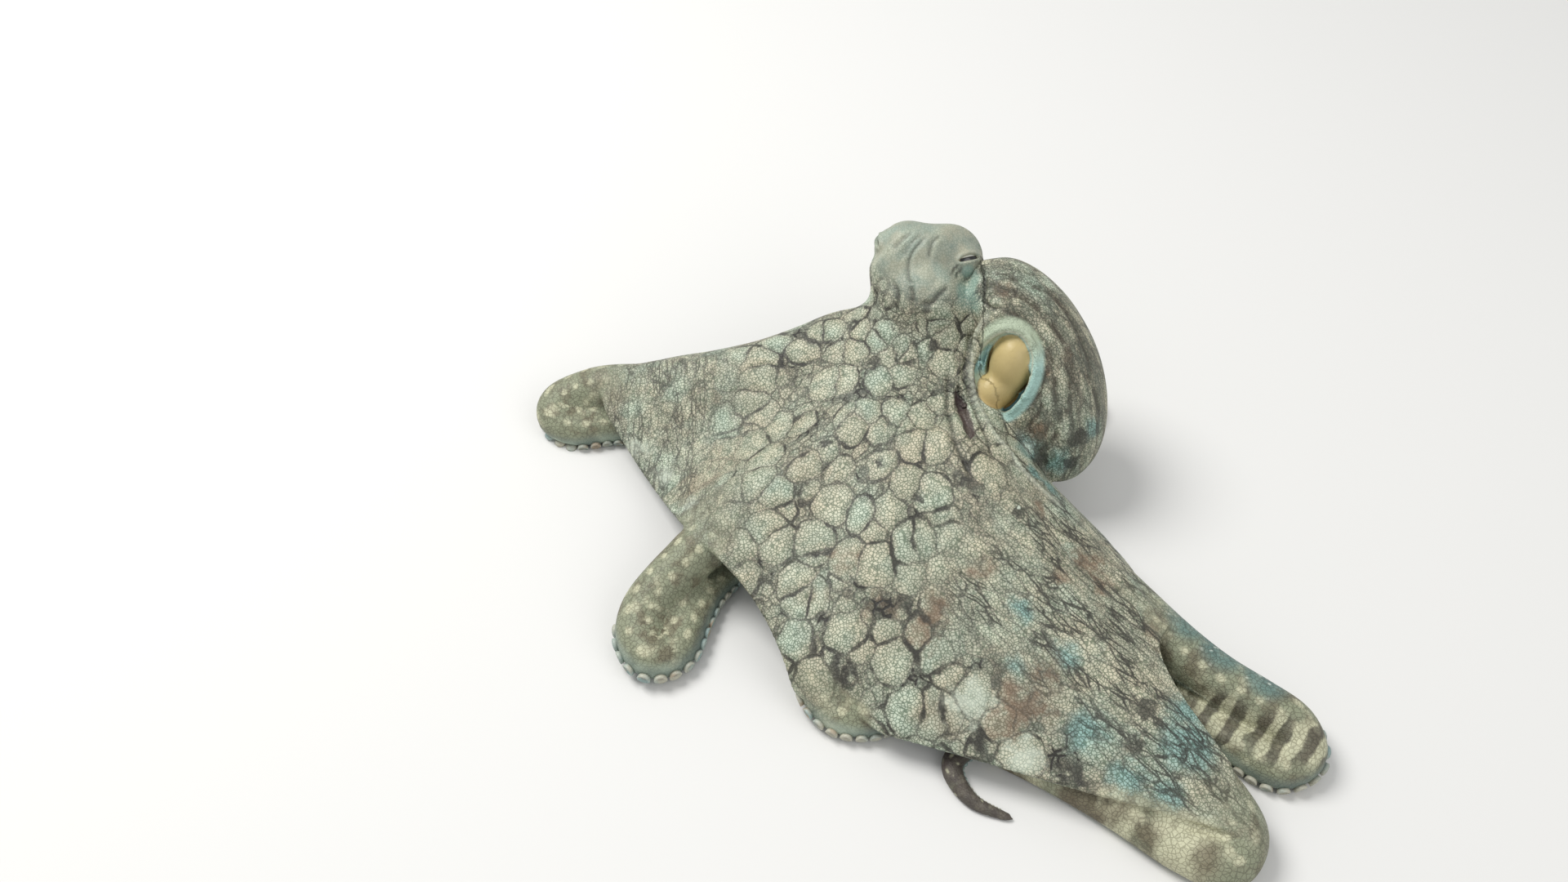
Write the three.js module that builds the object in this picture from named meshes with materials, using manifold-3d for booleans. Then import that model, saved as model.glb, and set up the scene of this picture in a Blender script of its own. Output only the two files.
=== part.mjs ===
// A common octopus at life size, standing on a level floor with its web spread like a tent.
// Units are millimetres, +Z is up, and the floor is the plane z = 0. Its left arms reach towards -X.
import * as THREE from "three";
import { mergeVertices } from "three/addons/utils/BufferGeometryUtils.js";
import Module from "manifold-3d";

const wasm = await Module();
wasm.setup();

// Driving dimensions.
const GAP = 0.3; // between pieces that meet
const SMALLEST = 0.03; // edges shorter than this are merged away
const ARM_TIP = 1.7; // an arm's radius at its tip
const TAPER = 2.6; // above 1, an arm keeps its thickness longer before it thins
const ARM_SIDES = 8;
const RING_PITCH = 14.6; // along an arm, at its thick end
const ORAL_FLAT = 0.6; // how far the flat sucker side lies below an arm's centreline, in radii
const SQUEEZE = 0.8; // flesh on the inside of a bend keeps within this share of the bend's radius
const REST_SLACK = 0.6; // an arm this near the floor lies on it
const WEB_THICK = 3; // at the free margin
const WEB_ROOT_THICK = 6; // where the web leaves the crown
const WEB_THINNED = 0.5; // the share of its reach by which a web is down to its margin's thickness
const WEB_CLEAR = 1.5; // between an arm's upper side and the web drawn over it
const WEB_STEPS = { out: 7, across: 6 };
const WEB_EDGE = 0.02; // the share of its reach that a web stops short at both ends
const BEND_STEP = 0.012; // the share of an arm's length over which its bend is read
const CROWN_SIDES = 18;
const MANTLE_SIDES = 16;
const MANTLE_RINGS = 9;
const HEAD_FACETS = { across: 20, down: 14 };
const FUNNEL_FACETS = { across: 10, down: 7 };
const EYE_FACETS = { across: 12, down: 8 };
const OPENING_FACETS = { across: 12, down: 8 };

// Each arm's centreline from the crown outwards. A point of two numbers rests on the floor, and
// one of three is held up at the third. webbed is the share of the arm's length that carries web,
// cuts are the shares at which its three lengths part, and thick is its radius at the crown.
const ARMS = {
  left_1: {
    route: [
      [60, 2, 50], [56, 32, 34], [58, 60, 17], [62, 82, 9], [76, 96], [96, 92], [103, 76], [92, 66], [80, 74],
    ],
    webbed: 0.36,
    cuts: [0.38, 0.66],
    thick: 11,
  },
  left_2: {
    route: [
      [54, 10, 64], [34, 16, 61], [12, 15, 52], [-16, 13, 43], [-48, 14, 33], [-75, 18, 25], [-98, 22, 20],
      [-114, 22, 15], [-124, 17, 12], [-124, 9, 8.5], [-112, 4], [-93, 6], [-68, 3], [-44, -10], [-22, -27],
      [-28, -46], [-46, -42],
    ],
    webbed: 0.46,
    cuts: [0.46, 0.68],
    thick: 13.5,
  },
  left_3: {
    route: [
      [52, -28, 50], [20, -50, 42], [-10, -68, 34], [-38, -87, 24], [-56, -103, 18], [-67, -117, 13],
      [-69, -130, 10], [-63, -140, 8], [-53, -136], [-46, -119], [-37, -101], [-20, -86], [4, -88],
      [13, -104], [2, -117],
    ],
    webbed: 0.36,
    cuts: [0.38, 0.64],
    thick: 14.2,
  },
  left_4: {
    route: [
      [62, -40, 50], [52, -76, 43], [40, -108, 32], [26, -138, 19], [17, -156, 11], [27, -169],
      [43, -170], [56, -158], [62, -138], [56, -118], [38, -114], [30, -127], [40, -138],
    ],
    webbed: 0.53,
    cuts: [0.44, 0.7],
    thick: 12.5,
  },
  right_4: {
    route: [
      [74, -42, 50], [98, -82, 43], [124, -124, 33], [152, -168, 23], [178, -203, 16], [190, -217, 12],
      [195, -230, 10], [188, -240], [173, -234], [148, -216], [124, -201], [103, -190], [87, -184],
      [76, -194], [83, -210], [101, -219],
    ],
    webbed: 0.56,
    cuts: [0.47, 0.74],
    thick: 16.5,
  },
  right_3: {
    route: [
      [86, -26, 48], [114, -66, 37], [145, -102, 28], [176, -135, 20], [200, -157, 16], [218, -169, 14],
      [231, -179, 12], [233, -191, 9], [222, -196], [207, -186], [190, -170], [170, -152], [154, -138],
      [158, -121], [172, -124],
    ],
    webbed: 0.4,
    cuts: [0.38, 0.64],
    thick: 14.8,
  },
  right_2: {
    route: [
      [90, -8, 44], [106, 10, 27], [124, 28, 14], [144, 39], [162, 36], [172, 22], [164, 8], [149, 10],
      [146, 21],
    ],
    webbed: 0.4,
    cuts: [0.4, 0.68],
    thick: 10,
  },
  right_1: {
    route: [
      [80, 4, 48], [96, 32, 32], [112, 56, 17], [126, 76, 9], [144, 86], [160, 78], [160, 62], [146, 58],
      [138, 68],
    ],
    webbed: 0.38,
    cuts: [0.38, 0.66],
    thick: 10,
  },
};

// Each stretch of web hangs between two arms. draw is how far its margin is drawn in at mid
// width, as a share of its reach, and rise is how far it bellies up (or sags) there.
const WEBS = {
  web_left_1_2: { arms: ["left_1", "left_2"], draw: 0.4, rise: -8 },
  web_left_2_3: { arms: ["left_2", "left_3"], draw: 0.02, rise: -20 },
  web_left_3_4: { arms: ["left_3", "left_4"], draw: 0.08, rise: -2 },
  web_ventral: { arms: ["left_4", "right_4"], draw: 0, rise: -2 },
  web_right_3_4: { arms: ["right_4", "right_3"], draw: 0.18, rise: 0 },
  web_right_2_3: { arms: ["right_3", "right_2"], draw: 0.5, rise: -28 },
  web_right_1_2: { arms: ["right_2", "right_1"], draw: 0.2, rise: -4 },
  web_dorsal: { arms: ["right_1", "left_1"], draw: 0.25, rise: -4 },
};

// The block in which all arms start, as level oval rings [z, x, y, half width, half depth].
const CROWN = [
  [30, 68, -16, 14, 14], [40, 68, -16, 30, 30], [54, 67, -14, 38, 38], [67, 66, -5, 37, 37],
  [80, 68, 9, 33, 28], [93, 71, 15, 24, 19],
];
// The head swells out from its heart to the furthest of these rounded masses, blended together.
const HEAD_HEART = [71, 29, 102];
const HEAD = [
  { centre: [71, 18, 84], radii: [27, 24, 30] },
  { centre: [71, 31, 107], radii: [19, 15, 17] },
  { centre: [61, 34.5, 106.5], radii: [14.5, 15, 16] }, // the left eye's bulge
  { centre: [59.5, 28, 100], radii: [16, 14, 18] }, // the cheek under it
  { centre: [82, 30, 102], radii: [16, 16, 17] }, // the right eye's bulge
  { centre: [83.5, 32, 108], radii: [15.2, 13, 14.5] }, // the brow over it
];
const HEAD_BLEND = 9; // higher follows the masses more closely
const EYES = {
  eye_left: [57, 35.5, 108],
  eye_right: [88, 28.5, 105],
};
const EYE_RADIUS = 10.5;
// The mantle's centreline and radius: a bag hung behind the head, its blunt end low.
const MANTLE = [
  [94, 16, 104, 11], [106, 13, 98, 22], [118, 7, 84, 28.5], [129, -4, 65, 32], [136, -18, 47, 30.5],
  [139, -32, 31, 24], [139, -43, 20, 11],
];
const MANTLE_DEPTH = 0.92; // its depth as a share of its width
const OPENING = { centre: [109, -19.5, 74.5], radii: [14.5, 14, 26] };
const FUNNEL = [
  { centre: [112.5, -15.4, 77], radii: [10.5, 12, 18] },
  { centre: [102.5, -23, 62], radii: [8, 9, 12.5] },
  { centre: [108.5, -20, 65.5], radii: [9, 9, 12] },
];

const SKIN = new THREE.MeshStandardMaterial({ color: 0xb9b69c, roughness: 0.55, metalness: 0 });
const ARM_SKIN = new THREE.MeshStandardMaterial({ color: 0x8d8a6a, roughness: 0.5, metalness: 0 });
const FUNNEL_SKIN = new THREE.MeshStandardMaterial({ color: 0xc9a24a, roughness: 0.35, metalness: 0 });
const EYE = new THREE.MeshStandardMaterial({ color: 0x2a2620, roughness: 0.15, metalness: 0 });

// ---- helpers ----

// A solid from closed three.js geometry.
function solidOf(geometry) {
  const bare = geometry.clone();
  bare.deleteAttribute("normal");
  bare.deleteAttribute("uv");
  const merged = mergeVertices(bare, 1e-4);
  return new wasm.Manifold(
    new wasm.Mesh({
      numProp: 3,
      vertProperties: new Float32Array(merged.attributes.position.array),
      triVerts: new Uint32Array(merged.index.array),
    }),
  );
}

// Three.js geometry from a solid.
function geometryOf(solid) {
  const mesh = solid.getMesh();
  const geometry = new THREE.BufferGeometry();
  geometry.setAttribute("position", new THREE.BufferAttribute(mesh.vertProperties, mesh.numProp));
  geometry.setIndex(new THREE.BufferAttribute(mesh.triVerts, 1));
  geometry.computeVertexNormals();
  return geometry;
}

const joined = (solids) => solids.reduce((a, b) => a.add(b));

// A closed body from rings of equal count, capped at both ends by fans.
function loft(rings) {
  const sides = rings[0].length;
  const points = rings.flat();
  const index = [];
  for (let i = 0; i < rings.length - 1; i++) {
    for (let j = 0; j < sides; j++) {
      const a = i * sides + j;
      const b = i * sides + ((j + 1) % sides);
      index.push(a, b, b + sides, a, b + sides, a + sides);
    }
  }
  for (const [ring, flip] of [[0, true], [rings.length - 1, false]]) {
    const centre = points.length;
    const sum = new THREE.Vector3();
    for (const p of rings[ring]) sum.add(p);
    points.push(sum.divideScalar(sides));
    for (let j = 0; j < sides; j++) {
      const a = ring * sides + j;
      const b = ring * sides + ((j + 1) % sides);
      index.push(...(flip ? [centre, b, a] : [centre, a, b]));
    }
  }
  const geometry = new THREE.BufferGeometry();
  geometry.setFromPoints(points);
  geometry.setIndex(index);
  return solidOf(geometry);
}

function ellipsoid({ centre, radii }, grow, facets) {
  const geometry = new THREE.SphereGeometry(1, facets.across, facets.down);
  geometry.rotateX(Math.PI / 2);
  geometry.scale(...radii.map((r) => r + grow));
  geometry.translate(...centre);
  return solidOf(geometry);
}

// ---- arms ----

// An arm's centreline and radius, read at shares of its length.
function armOf({ route, thick }) {
  const radius = (share) => THREE.MathUtils.lerp(thick, ARM_TIP, share ** TAPER);
  const flat = route.map(([x, y]) => new THREE.Vector2(x, y));
  const run = flat.map((p, i) => (i ? p.distanceTo(flat[i - 1]) : 0));
  const total = run.reduce((a, b) => a + b);
  let gone = 0;
  const points = route.map(([x, y, z], i) => {
    gone += run[i];
    return new THREE.Vector3(x, y, z ?? ORAL_FLAT * radius(gone / total));
  });
  const curve = new THREE.CatmullRomCurve3(points);
  return {
    radius,
    length: curve.getLength(),
    at: (share) => curve.getPointAt(share),
    along: (share) => curve.getTangentAt(share),
  };
}

const arms = Object.fromEntries(Object.entries(ARMS).map(([name, arm]) => [name, armOf(arm)]));

// An arm's station: its centre, radius, and the directions across it and up through its back.
// Its flat side never goes below the floor, and where it rests it lies level.
function station(arm, share) {
  const centre = arm.at(share);
  const forward = arm.along(share);
  const radius = arm.radius(share);
  const resting = ORAL_FLAT * radius;
  if (centre.z < resting + REST_SLACK) {
    centre.z = resting;
    forward.setZ(0).normalize();
  }
  const side = new THREE.Vector3(0, 0, 1).cross(forward).normalize();
  return { centre, radius, side, top: forward.clone().cross(side), bend: bendOf(arm, share) };
}

// Where an arm bends, the way to the middle of the bend and how far off it is.
function bendOf(arm, share) {
  const from = Math.max(share - BEND_STEP, 0);
  const to = Math.min(share + BEND_STEP, 1);
  const turn = arm.along(to).sub(arm.along(from));
  const angle = turn.length();
  return { way: turn.normalize(), off: ((to - from) * arm.length) / angle };
}

// One length of an arm: rings square to its centreline, round above and flat on the sucker side.
function armLength(arm, from, to, grow) {
  const steps = Math.max(3, Math.round(((to - from) * arm.length) / (RING_PITCH * (1 - from / 2))));
  const rings = [];
  for (let i = 0; i <= steps; i++) {
    const { centre, radius, side, top, bend } = station(arm, THREE.MathUtils.lerp(from, to, i / steps));
    const ring = [];
    for (let j = 0; j < ARM_SIDES; j++) {
      const turn = (2 * Math.PI * (j + 0.5)) / ARM_SIDES;
      const up = Math.max(radius * Math.sin(turn), -ORAL_FLAT * radius);
      const spot = new THREE.Vector2(radius * Math.cos(turn), up);
      spot.setLength(spot.length() + grow);
      const offset = side.clone().multiplyScalar(spot.x).addScaledVector(top, spot.y);
      const squeeze = offset.dot(bend.way) - SQUEEZE * bend.off;
      if (squeeze > 0) offset.addScaledVector(bend.way, -squeeze);
      ring.push(centre.clone().add(offset));
    }
    rings.push(ring);
  }
  return loft(rings);
}

// ---- web ----

// A point of the surface strung between the centrelines of a web's two arms: t is 0 at the first
// and 1 at the second, and s is 0 in the crown and 1 at the margin.
function strung(web, s, t) {
  const belly = Math.sin(Math.PI * t);
  const reach = s * (1 - web.draw * belly);
  const [first, second] = web.arms.map((name) => station(arms[name], reach * ARMS[name].webbed));
  const point = first.centre.clone().lerp(second.centre, t);
  point.z += web.rise * belly * reach;
  return { point, first, second };
}

// A web lies off that surface by the arms' radius, and is turned over each arm's back to meet the next.
function webSolid(web) {
  const step = WEB_EDGE;
  const rings = [];
  for (let i = 0; i <= WEB_STEPS.out; i++) {
    const s = THREE.MathUtils.lerp(step, 1 - step, i / WEB_STEPS.out);
    const thick = THREE.MathUtils.lerp(WEB_ROOT_THICK, WEB_THICK, Math.min(s / WEB_THINNED, 1));
    const { first: here, second: there } = strung(web, s, 0);
    const edge = GAP / here.centre.distanceTo(there.centre);
    const outer = [];
    const inner = [];
    for (let j = 0; j <= WEB_STEPS.across; j++) {
      const t = THREE.MathUtils.lerp(edge, 1 - edge, j / WEB_STEPS.across);
      const { point, first, second } = strung(web, s, t);
      const out = strung(web, s + step, t).point.sub(strung(web, s - step, t).point);
      const across = strung(web, s, t + step).point.sub(strung(web, s, t - step).point);
      const off = out.cross(across).normalize();
      if (j === 0) off.copy(first.top);
      if (j === WEB_STEPS.across) off.copy(second.top);
      const lift = THREE.MathUtils.lerp(first.radius, second.radius, t) + WEB_CLEAR;
      inner.push(point.clone().addScaledVector(off, lift));
      outer.push(point.clone().addScaledVector(off, lift + thick));
    }
    rings.push([...inner, ...outer.reverse()]);
  }
  return loft(rings);
}

// ---- head, crown and mantle ----

function crownSolid(grow) {
  return loft(
    CROWN.map(([z, x, y, rx, ry], i) =>
      Array.from({ length: CROWN_SIDES }, (_, j) => {
        const turn = (2 * Math.PI * j) / CROWN_SIDES;
        const lift = i === 0 ? -grow : i === CROWN.length - 1 ? grow : 0;
        const east = (rx + grow) * Math.cos(turn);
        const north = (ry + grow) * Math.sin(turn);
        return new THREE.Vector3(x + east, y + north, z + lift);
      }),
    ),
  );
}

function mantleSolid(grow) {
  const line = new THREE.CatmullRomCurve3(MANTLE.map(([x, y, z]) => new THREE.Vector3(x, y, z)));
  const widths = new THREE.SplineCurve(MANTLE.map((p, i) => new THREE.Vector2(i, p[3])));
  return loft(
    Array.from({ length: MANTLE_RINGS + 1 }, (_, i) => {
      const u = i / MANTLE_RINGS;
      const forward = line.getTangent(u);
      const side = new THREE.Vector3(0, 0, 1).cross(forward).normalize();
      const top = forward.clone().cross(side);
      const lengthen = i === 0 ? -grow : i === MANTLE_RINGS ? grow : 0;
      const centre = line.getPoint(u).addScaledVector(forward, lengthen);
      const r = widths.getPoint(u).y + grow;
      return Array.from({ length: MANTLE_SIDES }, (_, j) => {
        const turn = (2 * Math.PI * j) / MANTLE_SIDES;
        const across = r * Math.cos(turn);
        const deep = r * MANTLE_DEPTH * Math.sin(turn);
        return centre.clone().addScaledVector(side, across).addScaledVector(top, deep);
      });
    }),
  );
}

// How far a line from the heart along a direction runs inside an ellipsoid.
function reachInside({ centre, radii }, heart, direction) {
  const scale = new THREE.Vector3(...radii);
  const from = heart.clone().sub(new THREE.Vector3(...centre)).divide(scale);
  const way = direction.clone().divide(scale);
  const a = way.lengthSq();
  const b = from.dot(way);
  const c = from.lengthSq() - 1;
  return (Math.sqrt(b * b - a * c) - b) / a;
}

function headSolid(grow) {
  const heart = new THREE.Vector3(...HEAD_HEART);
  const geometry = new THREE.SphereGeometry(1, HEAD_FACETS.across, HEAD_FACETS.down);
  const spots = geometry.getAttribute("position");
  for (let i = 0; i < spots.count; i++) {
    const direction = new THREE.Vector3().fromBufferAttribute(spots, i);
    const powers = HEAD.map((part) => reachInside(part, heart, direction) ** HEAD_BLEND);
    const reach = powers.reduce((a, b) => a + b) ** (1 / HEAD_BLEND);
    const spot = heart.clone().addScaledVector(direction, reach + grow);
    spots.setXYZ(i, spot.x, spot.y, spot.z);
  }
  return solidOf(geometry);
}

const funnelSolid = (grow) => joined(FUNNEL.map((part) => ellipsoid(part, grow, FUNNEL_FACETS)));
const eyeSolid = (centre, grow) => ellipsoid({ centre, radii: Array(3).fill(EYE_RADIUS) }, grow, EYE_FACETS);

// ---- assembly: each piece gives way to those placed before it ----

const octopus = new THREE.Group();
let taken = null;

// make(grow) gives the piece's solid, grown all round. Crumbs and slivers left by the cuts are dropped.
function place(name, make, material) {
  const shape = taken ? make(0).subtract(taken) : make(0);
  const [whole] = shape.simplify(SMALLEST).decompose().sort((a, b) => b.volume() - a.volume());
  const mesh = new THREE.Mesh(geometryOf(whole), material);
  mesh.name = name;
  octopus.add(mesh);
  taken = taken ? taken.add(make(GAP)) : make(GAP);
}

for (const [name, centre] of Object.entries(EYES)) {
  place(name, (grow) => eyeSolid(centre, grow), EYE);
}
place("funnel", funnelSolid, FUNNEL_SKIN);
place("mantle", (grow) => mantleSolid(grow).subtract(ellipsoid(OPENING, -grow, OPENING_FACETS)), SKIN);
place("head", headSolid, SKIN);
place("arm_crown", crownSolid, SKIN);

for (const [name, arm] of Object.entries(arms)) {
  const stops = [0, ...ARMS[name].cuts, 1];
  ["base", "middle", "tip"].forEach((length, k) => {
    const from = stops[k] + (k ? GAP / arm.length : 0);
    place(`arm_${name}_${length}`, (grow) => armLength(arm, from, stops[k + 1], grow), ARM_SKIN);
  });
}

for (const [name, web] of Object.entries(WEBS)) {
  place(name, () => webSolid(web), SKIN);
}

// The origin is on the floor, in the middle of the ground that the animal covers.
const cover = new THREE.Box3().setFromObject(octopus);
const middle = cover.getCenter(new THREE.Vector3());
octopus.position.set(-middle.x, -middle.y, -cover.min.z);

export default octopus;
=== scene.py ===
import math

import bpy
import numpy as np
from mathutils import Matrix, Vector
from mathutils.bvhtree import BVHTree
from mathutils.kdtree import KDTree


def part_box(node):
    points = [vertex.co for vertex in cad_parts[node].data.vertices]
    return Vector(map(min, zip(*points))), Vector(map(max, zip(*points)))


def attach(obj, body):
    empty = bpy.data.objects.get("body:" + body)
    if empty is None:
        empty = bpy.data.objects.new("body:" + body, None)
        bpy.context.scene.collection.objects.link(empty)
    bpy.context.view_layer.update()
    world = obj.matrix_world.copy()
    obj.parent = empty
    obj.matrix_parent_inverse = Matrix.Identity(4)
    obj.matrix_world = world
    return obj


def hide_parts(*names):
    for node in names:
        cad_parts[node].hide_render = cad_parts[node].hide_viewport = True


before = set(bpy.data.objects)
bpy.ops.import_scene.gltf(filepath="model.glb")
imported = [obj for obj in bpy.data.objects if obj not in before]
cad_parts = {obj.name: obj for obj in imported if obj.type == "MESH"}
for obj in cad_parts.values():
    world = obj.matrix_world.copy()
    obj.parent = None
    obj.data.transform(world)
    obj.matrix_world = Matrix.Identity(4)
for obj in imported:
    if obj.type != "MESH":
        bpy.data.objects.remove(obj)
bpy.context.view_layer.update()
mm = 0.001

# Places below are in millimetres on a plan whose eyes lie here; planShift carries the plan onto the frame.
eyes = {
    "eye_left": (57.0, 35.5, 108.0),
    "eye_right": (88.0, 28.5, 105.0),
}
eyeLow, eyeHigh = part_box("eye_left")
planShift = np.array((eyeLow + eyeHigh) / 2) / mm - np.array(eyes["eye_left"])


def smoothStep(value, low, high):
    x = np.clip((value - low) / (high - low), 0, 1)
    return x * x * (3 - 2 * x)


def unit(vectors):
    return vectors / np.maximum(np.linalg.norm(vectors, axis=-1, keepdims=True), 1e-9)


def lerp(a, b, t):
    return a + (b - a) * t


# A centripetal curve through points, read at even steps of its length.
def curveThrough(points, count):
    points = np.array(points, float)
    ends = [2 * points[0] - points[1], 2 * points[-1] - points[-2]]
    p = np.vstack([ends[0], points, ends[1]])
    dense = []
    for i in range(1, len(p) - 2):
        knots = [0.0]
        for j in range(3):
            knots.append(knots[-1] + math.sqrt(np.linalg.norm(p[i + j] - p[i + j - 1]) or 1e-6))
        t = np.linspace(knots[1], knots[2], 24, endpoint=(i == len(p) - 3))[:, None]
        a = [lerp(p[i + j - 1], p[i + j], (t - knots[j]) / (knots[j + 1] - knots[j])) for j in range(3)]
        b = [lerp(a[j], a[j + 1], (t - knots[j]) / (knots[j + 2] - knots[j])) for j in range(2)]
        dense.append(lerp(b[0], b[1], (t - knots[1]) / (knots[2] - knots[1])))
    dense = np.vstack(dense)
    run = np.concatenate([[0], np.cumsum(np.linalg.norm(np.diff(dense, axis=0), axis=1))])
    even = np.linspace(0, run[-1], count)
    return np.stack([np.interp(even, run, dense[:, k]) for k in range(dense.shape[1])], 1), run[-1]


# Each arm's centreline from the crown outwards; a point of two numbers rests on the floor. webbed is the
# share of its length that carries web, and thick is its radius at the crown.
arms = {
    "left_1": dict(webbed=0.36, thick=11, route=[
        (60, 2, 50), (56, 32, 34), (58, 60, 17), (62, 82, 9), (76, 96), (96, 92), (103, 76), (92, 66),
        (80, 74)]),
    "left_2": dict(webbed=0.46, thick=13.5, route=[
        (54, 10, 64), (34, 16, 61), (12, 15, 52), (-16, 13, 43), (-48, 14, 33), (-75, 18, 25), (-98, 22, 20),
        (-114, 22, 15), (-124, 17, 12), (-124, 9, 8.5), (-112, 4), (-93, 6), (-68, 3), (-44, -10), (-22, -27),
        (-28, -46), (-46, -42)]),
    "left_3": dict(webbed=0.36, thick=14.2, route=[
        (52, -28, 50), (20, -50, 42), (-10, -68, 34), (-38, -87, 24), (-56, -103, 18), (-67, -117, 13),
        (-69, -130, 10), (-63, -140, 8), (-53, -136), (-46, -119), (-37, -101), (-20, -86), (4, -88),
        (13, -104), (2, -117)]),
    "left_4": dict(webbed=0.53, thick=12.5, route=[
        (62, -40, 50), (52, -76, 43), (40, -108, 32), (26, -138, 19), (17, -156, 11), (27, -169), (43, -170),
        (56, -158), (62, -138), (56, -118), (38, -114), (30, -127), (40, -138)]),
    "right_4": dict(webbed=0.56, thick=16.5, route=[
        (74, -42, 50), (98, -82, 43), (124, -124, 33), (152, -168, 23), (178, -203, 16), (190, -217, 12),
        (195, -230, 10), (188, -240), (173, -234), (148, -216), (124, -201), (103, -190), (87, -184),
        (76, -194), (83, -210), (101, -219)]),
    "right_3": dict(webbed=0.4, thick=14.8, route=[
        (86, -26, 48), (114, -66, 37), (145, -102, 28), (176, -135, 20), (200, -157, 16), (218, -169, 14),
        (231, -179, 12), (233, -191, 9), (222, -196), (207, -186), (190, -170), (170, -152), (154, -138),
        (158, -121), (172, -124)]),
    "right_2": dict(webbed=0.4, thick=10, route=[
        (90, -8, 44), (106, 10, 27), (124, 28, 14), (144, 39), (162, 36), (172, 22), (164, 8), (149, 10),
        (146, 21)]),
    "right_1": dict(webbed=0.38, thick=10, route=[
        (80, 4, 48), (96, 32, 32), (112, 56, 17), (126, 76, 9), (144, 86), (160, 78), (160, 62), (146, 58),
        (138, 68)]),
}
# How far an arm turns its suckers to one side on its way: shares of its length, and degrees, positive to the
# left.
leans = {
    "left_2": ((0.5, 0.62, 0.8, 0.9), (0, -50, -50, 0)),
    "left_3": ((0.4, 0.5, 0.56, 0.82, 0.9), (0, -35, -62, -62, 0)),
    "left_4": ((0.4, 0.48, 0.62, 0.7), (0, -58, -58, 0)),
    "right_4": ((0.84, 0.92, 1), (0, 50, 60)),
    "right_3": ((0.5, 0.6, 0.84, 0.92), (0, 52, 52, 0)),
}
armShape = dict(
    tip=1.7,  # radius at the tip
    taper=2.6,
    flat=0.6,  # how far the sucker side lies below the centreline, in radii
    suckerDepth=0.13,  # how far the flesh stands back from that side for the suckers, in radii
    soft=0.12,  # how rounded that side's edges are, in radii
    sides=28,
    pitch=2.0,  # between rings
    samples=400,  # places along an arm at which its values are worked out
    restSlack=0.6,  # an arm this little above the floor rests on it
    squeeze=0.72,  # share of the way to the middle of a bend that the flesh may fill
)


def armRadius(arm, share):
    return lerp(arm["thick"], armShape["tip"], share ** armShape["taper"])


# Works out an arm's centreline, its radius and its ways along, aside and up, at even steps.
def armTable(arm):
    flat = np.array([p[:2] for p in arm["route"]], float)
    run = np.concatenate([[0], np.cumsum(np.linalg.norm(np.diff(flat, axis=0), axis=1))])
    heights = [p[2] if len(p) > 2 else armShape["flat"] * armRadius(arm, r / run[-1])
               for p, r in zip(arm["route"], run)]
    centre, length = curveThrough(np.column_stack([flat, heights]), armShape["samples"])
    share = np.linspace(0, 1, armShape["samples"])
    radius = armRadius(arm, share)
    forward = unit(np.gradient(centre, axis=0))
    resting = centre[:, 2] < armShape["flat"] * radius + armShape["restSlack"]
    centre[resting, 2] = armShape["flat"] * radius[resting]
    forward[resting, 2] = 0
    forward = unit(forward)
    side = unit(np.cross([0, 0, 1], forward))
    bend = np.gradient(forward, length / armShape["samples"], axis=0)  # towards the middle of the bend
    arm.update(length=length, share=share, centre=centre, radius=radius, forward=forward, side=side,
               top=np.cross(forward, side), bend=bend)


for name, arm in arms.items():
    armTable(arm)
    arm["lean"] = np.radians(np.interp(arm["share"], *leans.get(name, ((0, 1), (0, 0)))))


# An arm's values at shares of its length, one for each key.
def armAt(name, share, *keys):
    table = arms[name]
    return [np.interp(share, table["share"], table[key]) if table[key].ndim == 1 else
            np.stack([np.interp(share, table["share"], table[key][:, k]) for k in range(3)], -1)
            for key in keys]


# A mesh object from rings of points: closed around, with a fan over each end, or, where a ring runs out and
# back along a thin sheet, a strip.
def loft(name, rings, sheet=False):
    rings = np.array(rings, float)
    count, sides = rings.shape[:2]
    points = rings.reshape(-1, 3)
    i, j = np.meshgrid(np.arange(count - 1), np.arange(sides), indexing="ij")
    nextJ = (j + 1) % sides
    quads = np.stack([i * sides + j, i * sides + nextJ, (i + 1) * sides + nextJ, (i + 1) * sides + j], -1)
    faces = [tuple(q) for q in quads.reshape(-1, 4).tolist()]
    last = (count - 1) * sides
    if sheet:
        for j in range(sides // 2 - 1):
            strip = (j, j + 1, sides - 2 - j, sides - 1 - j)
            faces.append(strip[::-1])
            faces.append(tuple(last + k for k in strip))
    else:
        points = np.vstack([points, rings[0].mean(0), rings[-1].mean(0)])
        for j in range(sides):
            k = (j + 1) % sides
            faces.append((count * sides, k, j))
            faces.append((count * sides + 1, last + j, last + k))
    mesh = bpy.data.meshes.new(name)
    mesh.from_pydata(((points + planShift) * mm).tolist(), [], faces)
    obj = bpy.data.objects.new(name, mesh)
    bpy.context.scene.collection.objects.link(obj)
    return obj


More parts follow.
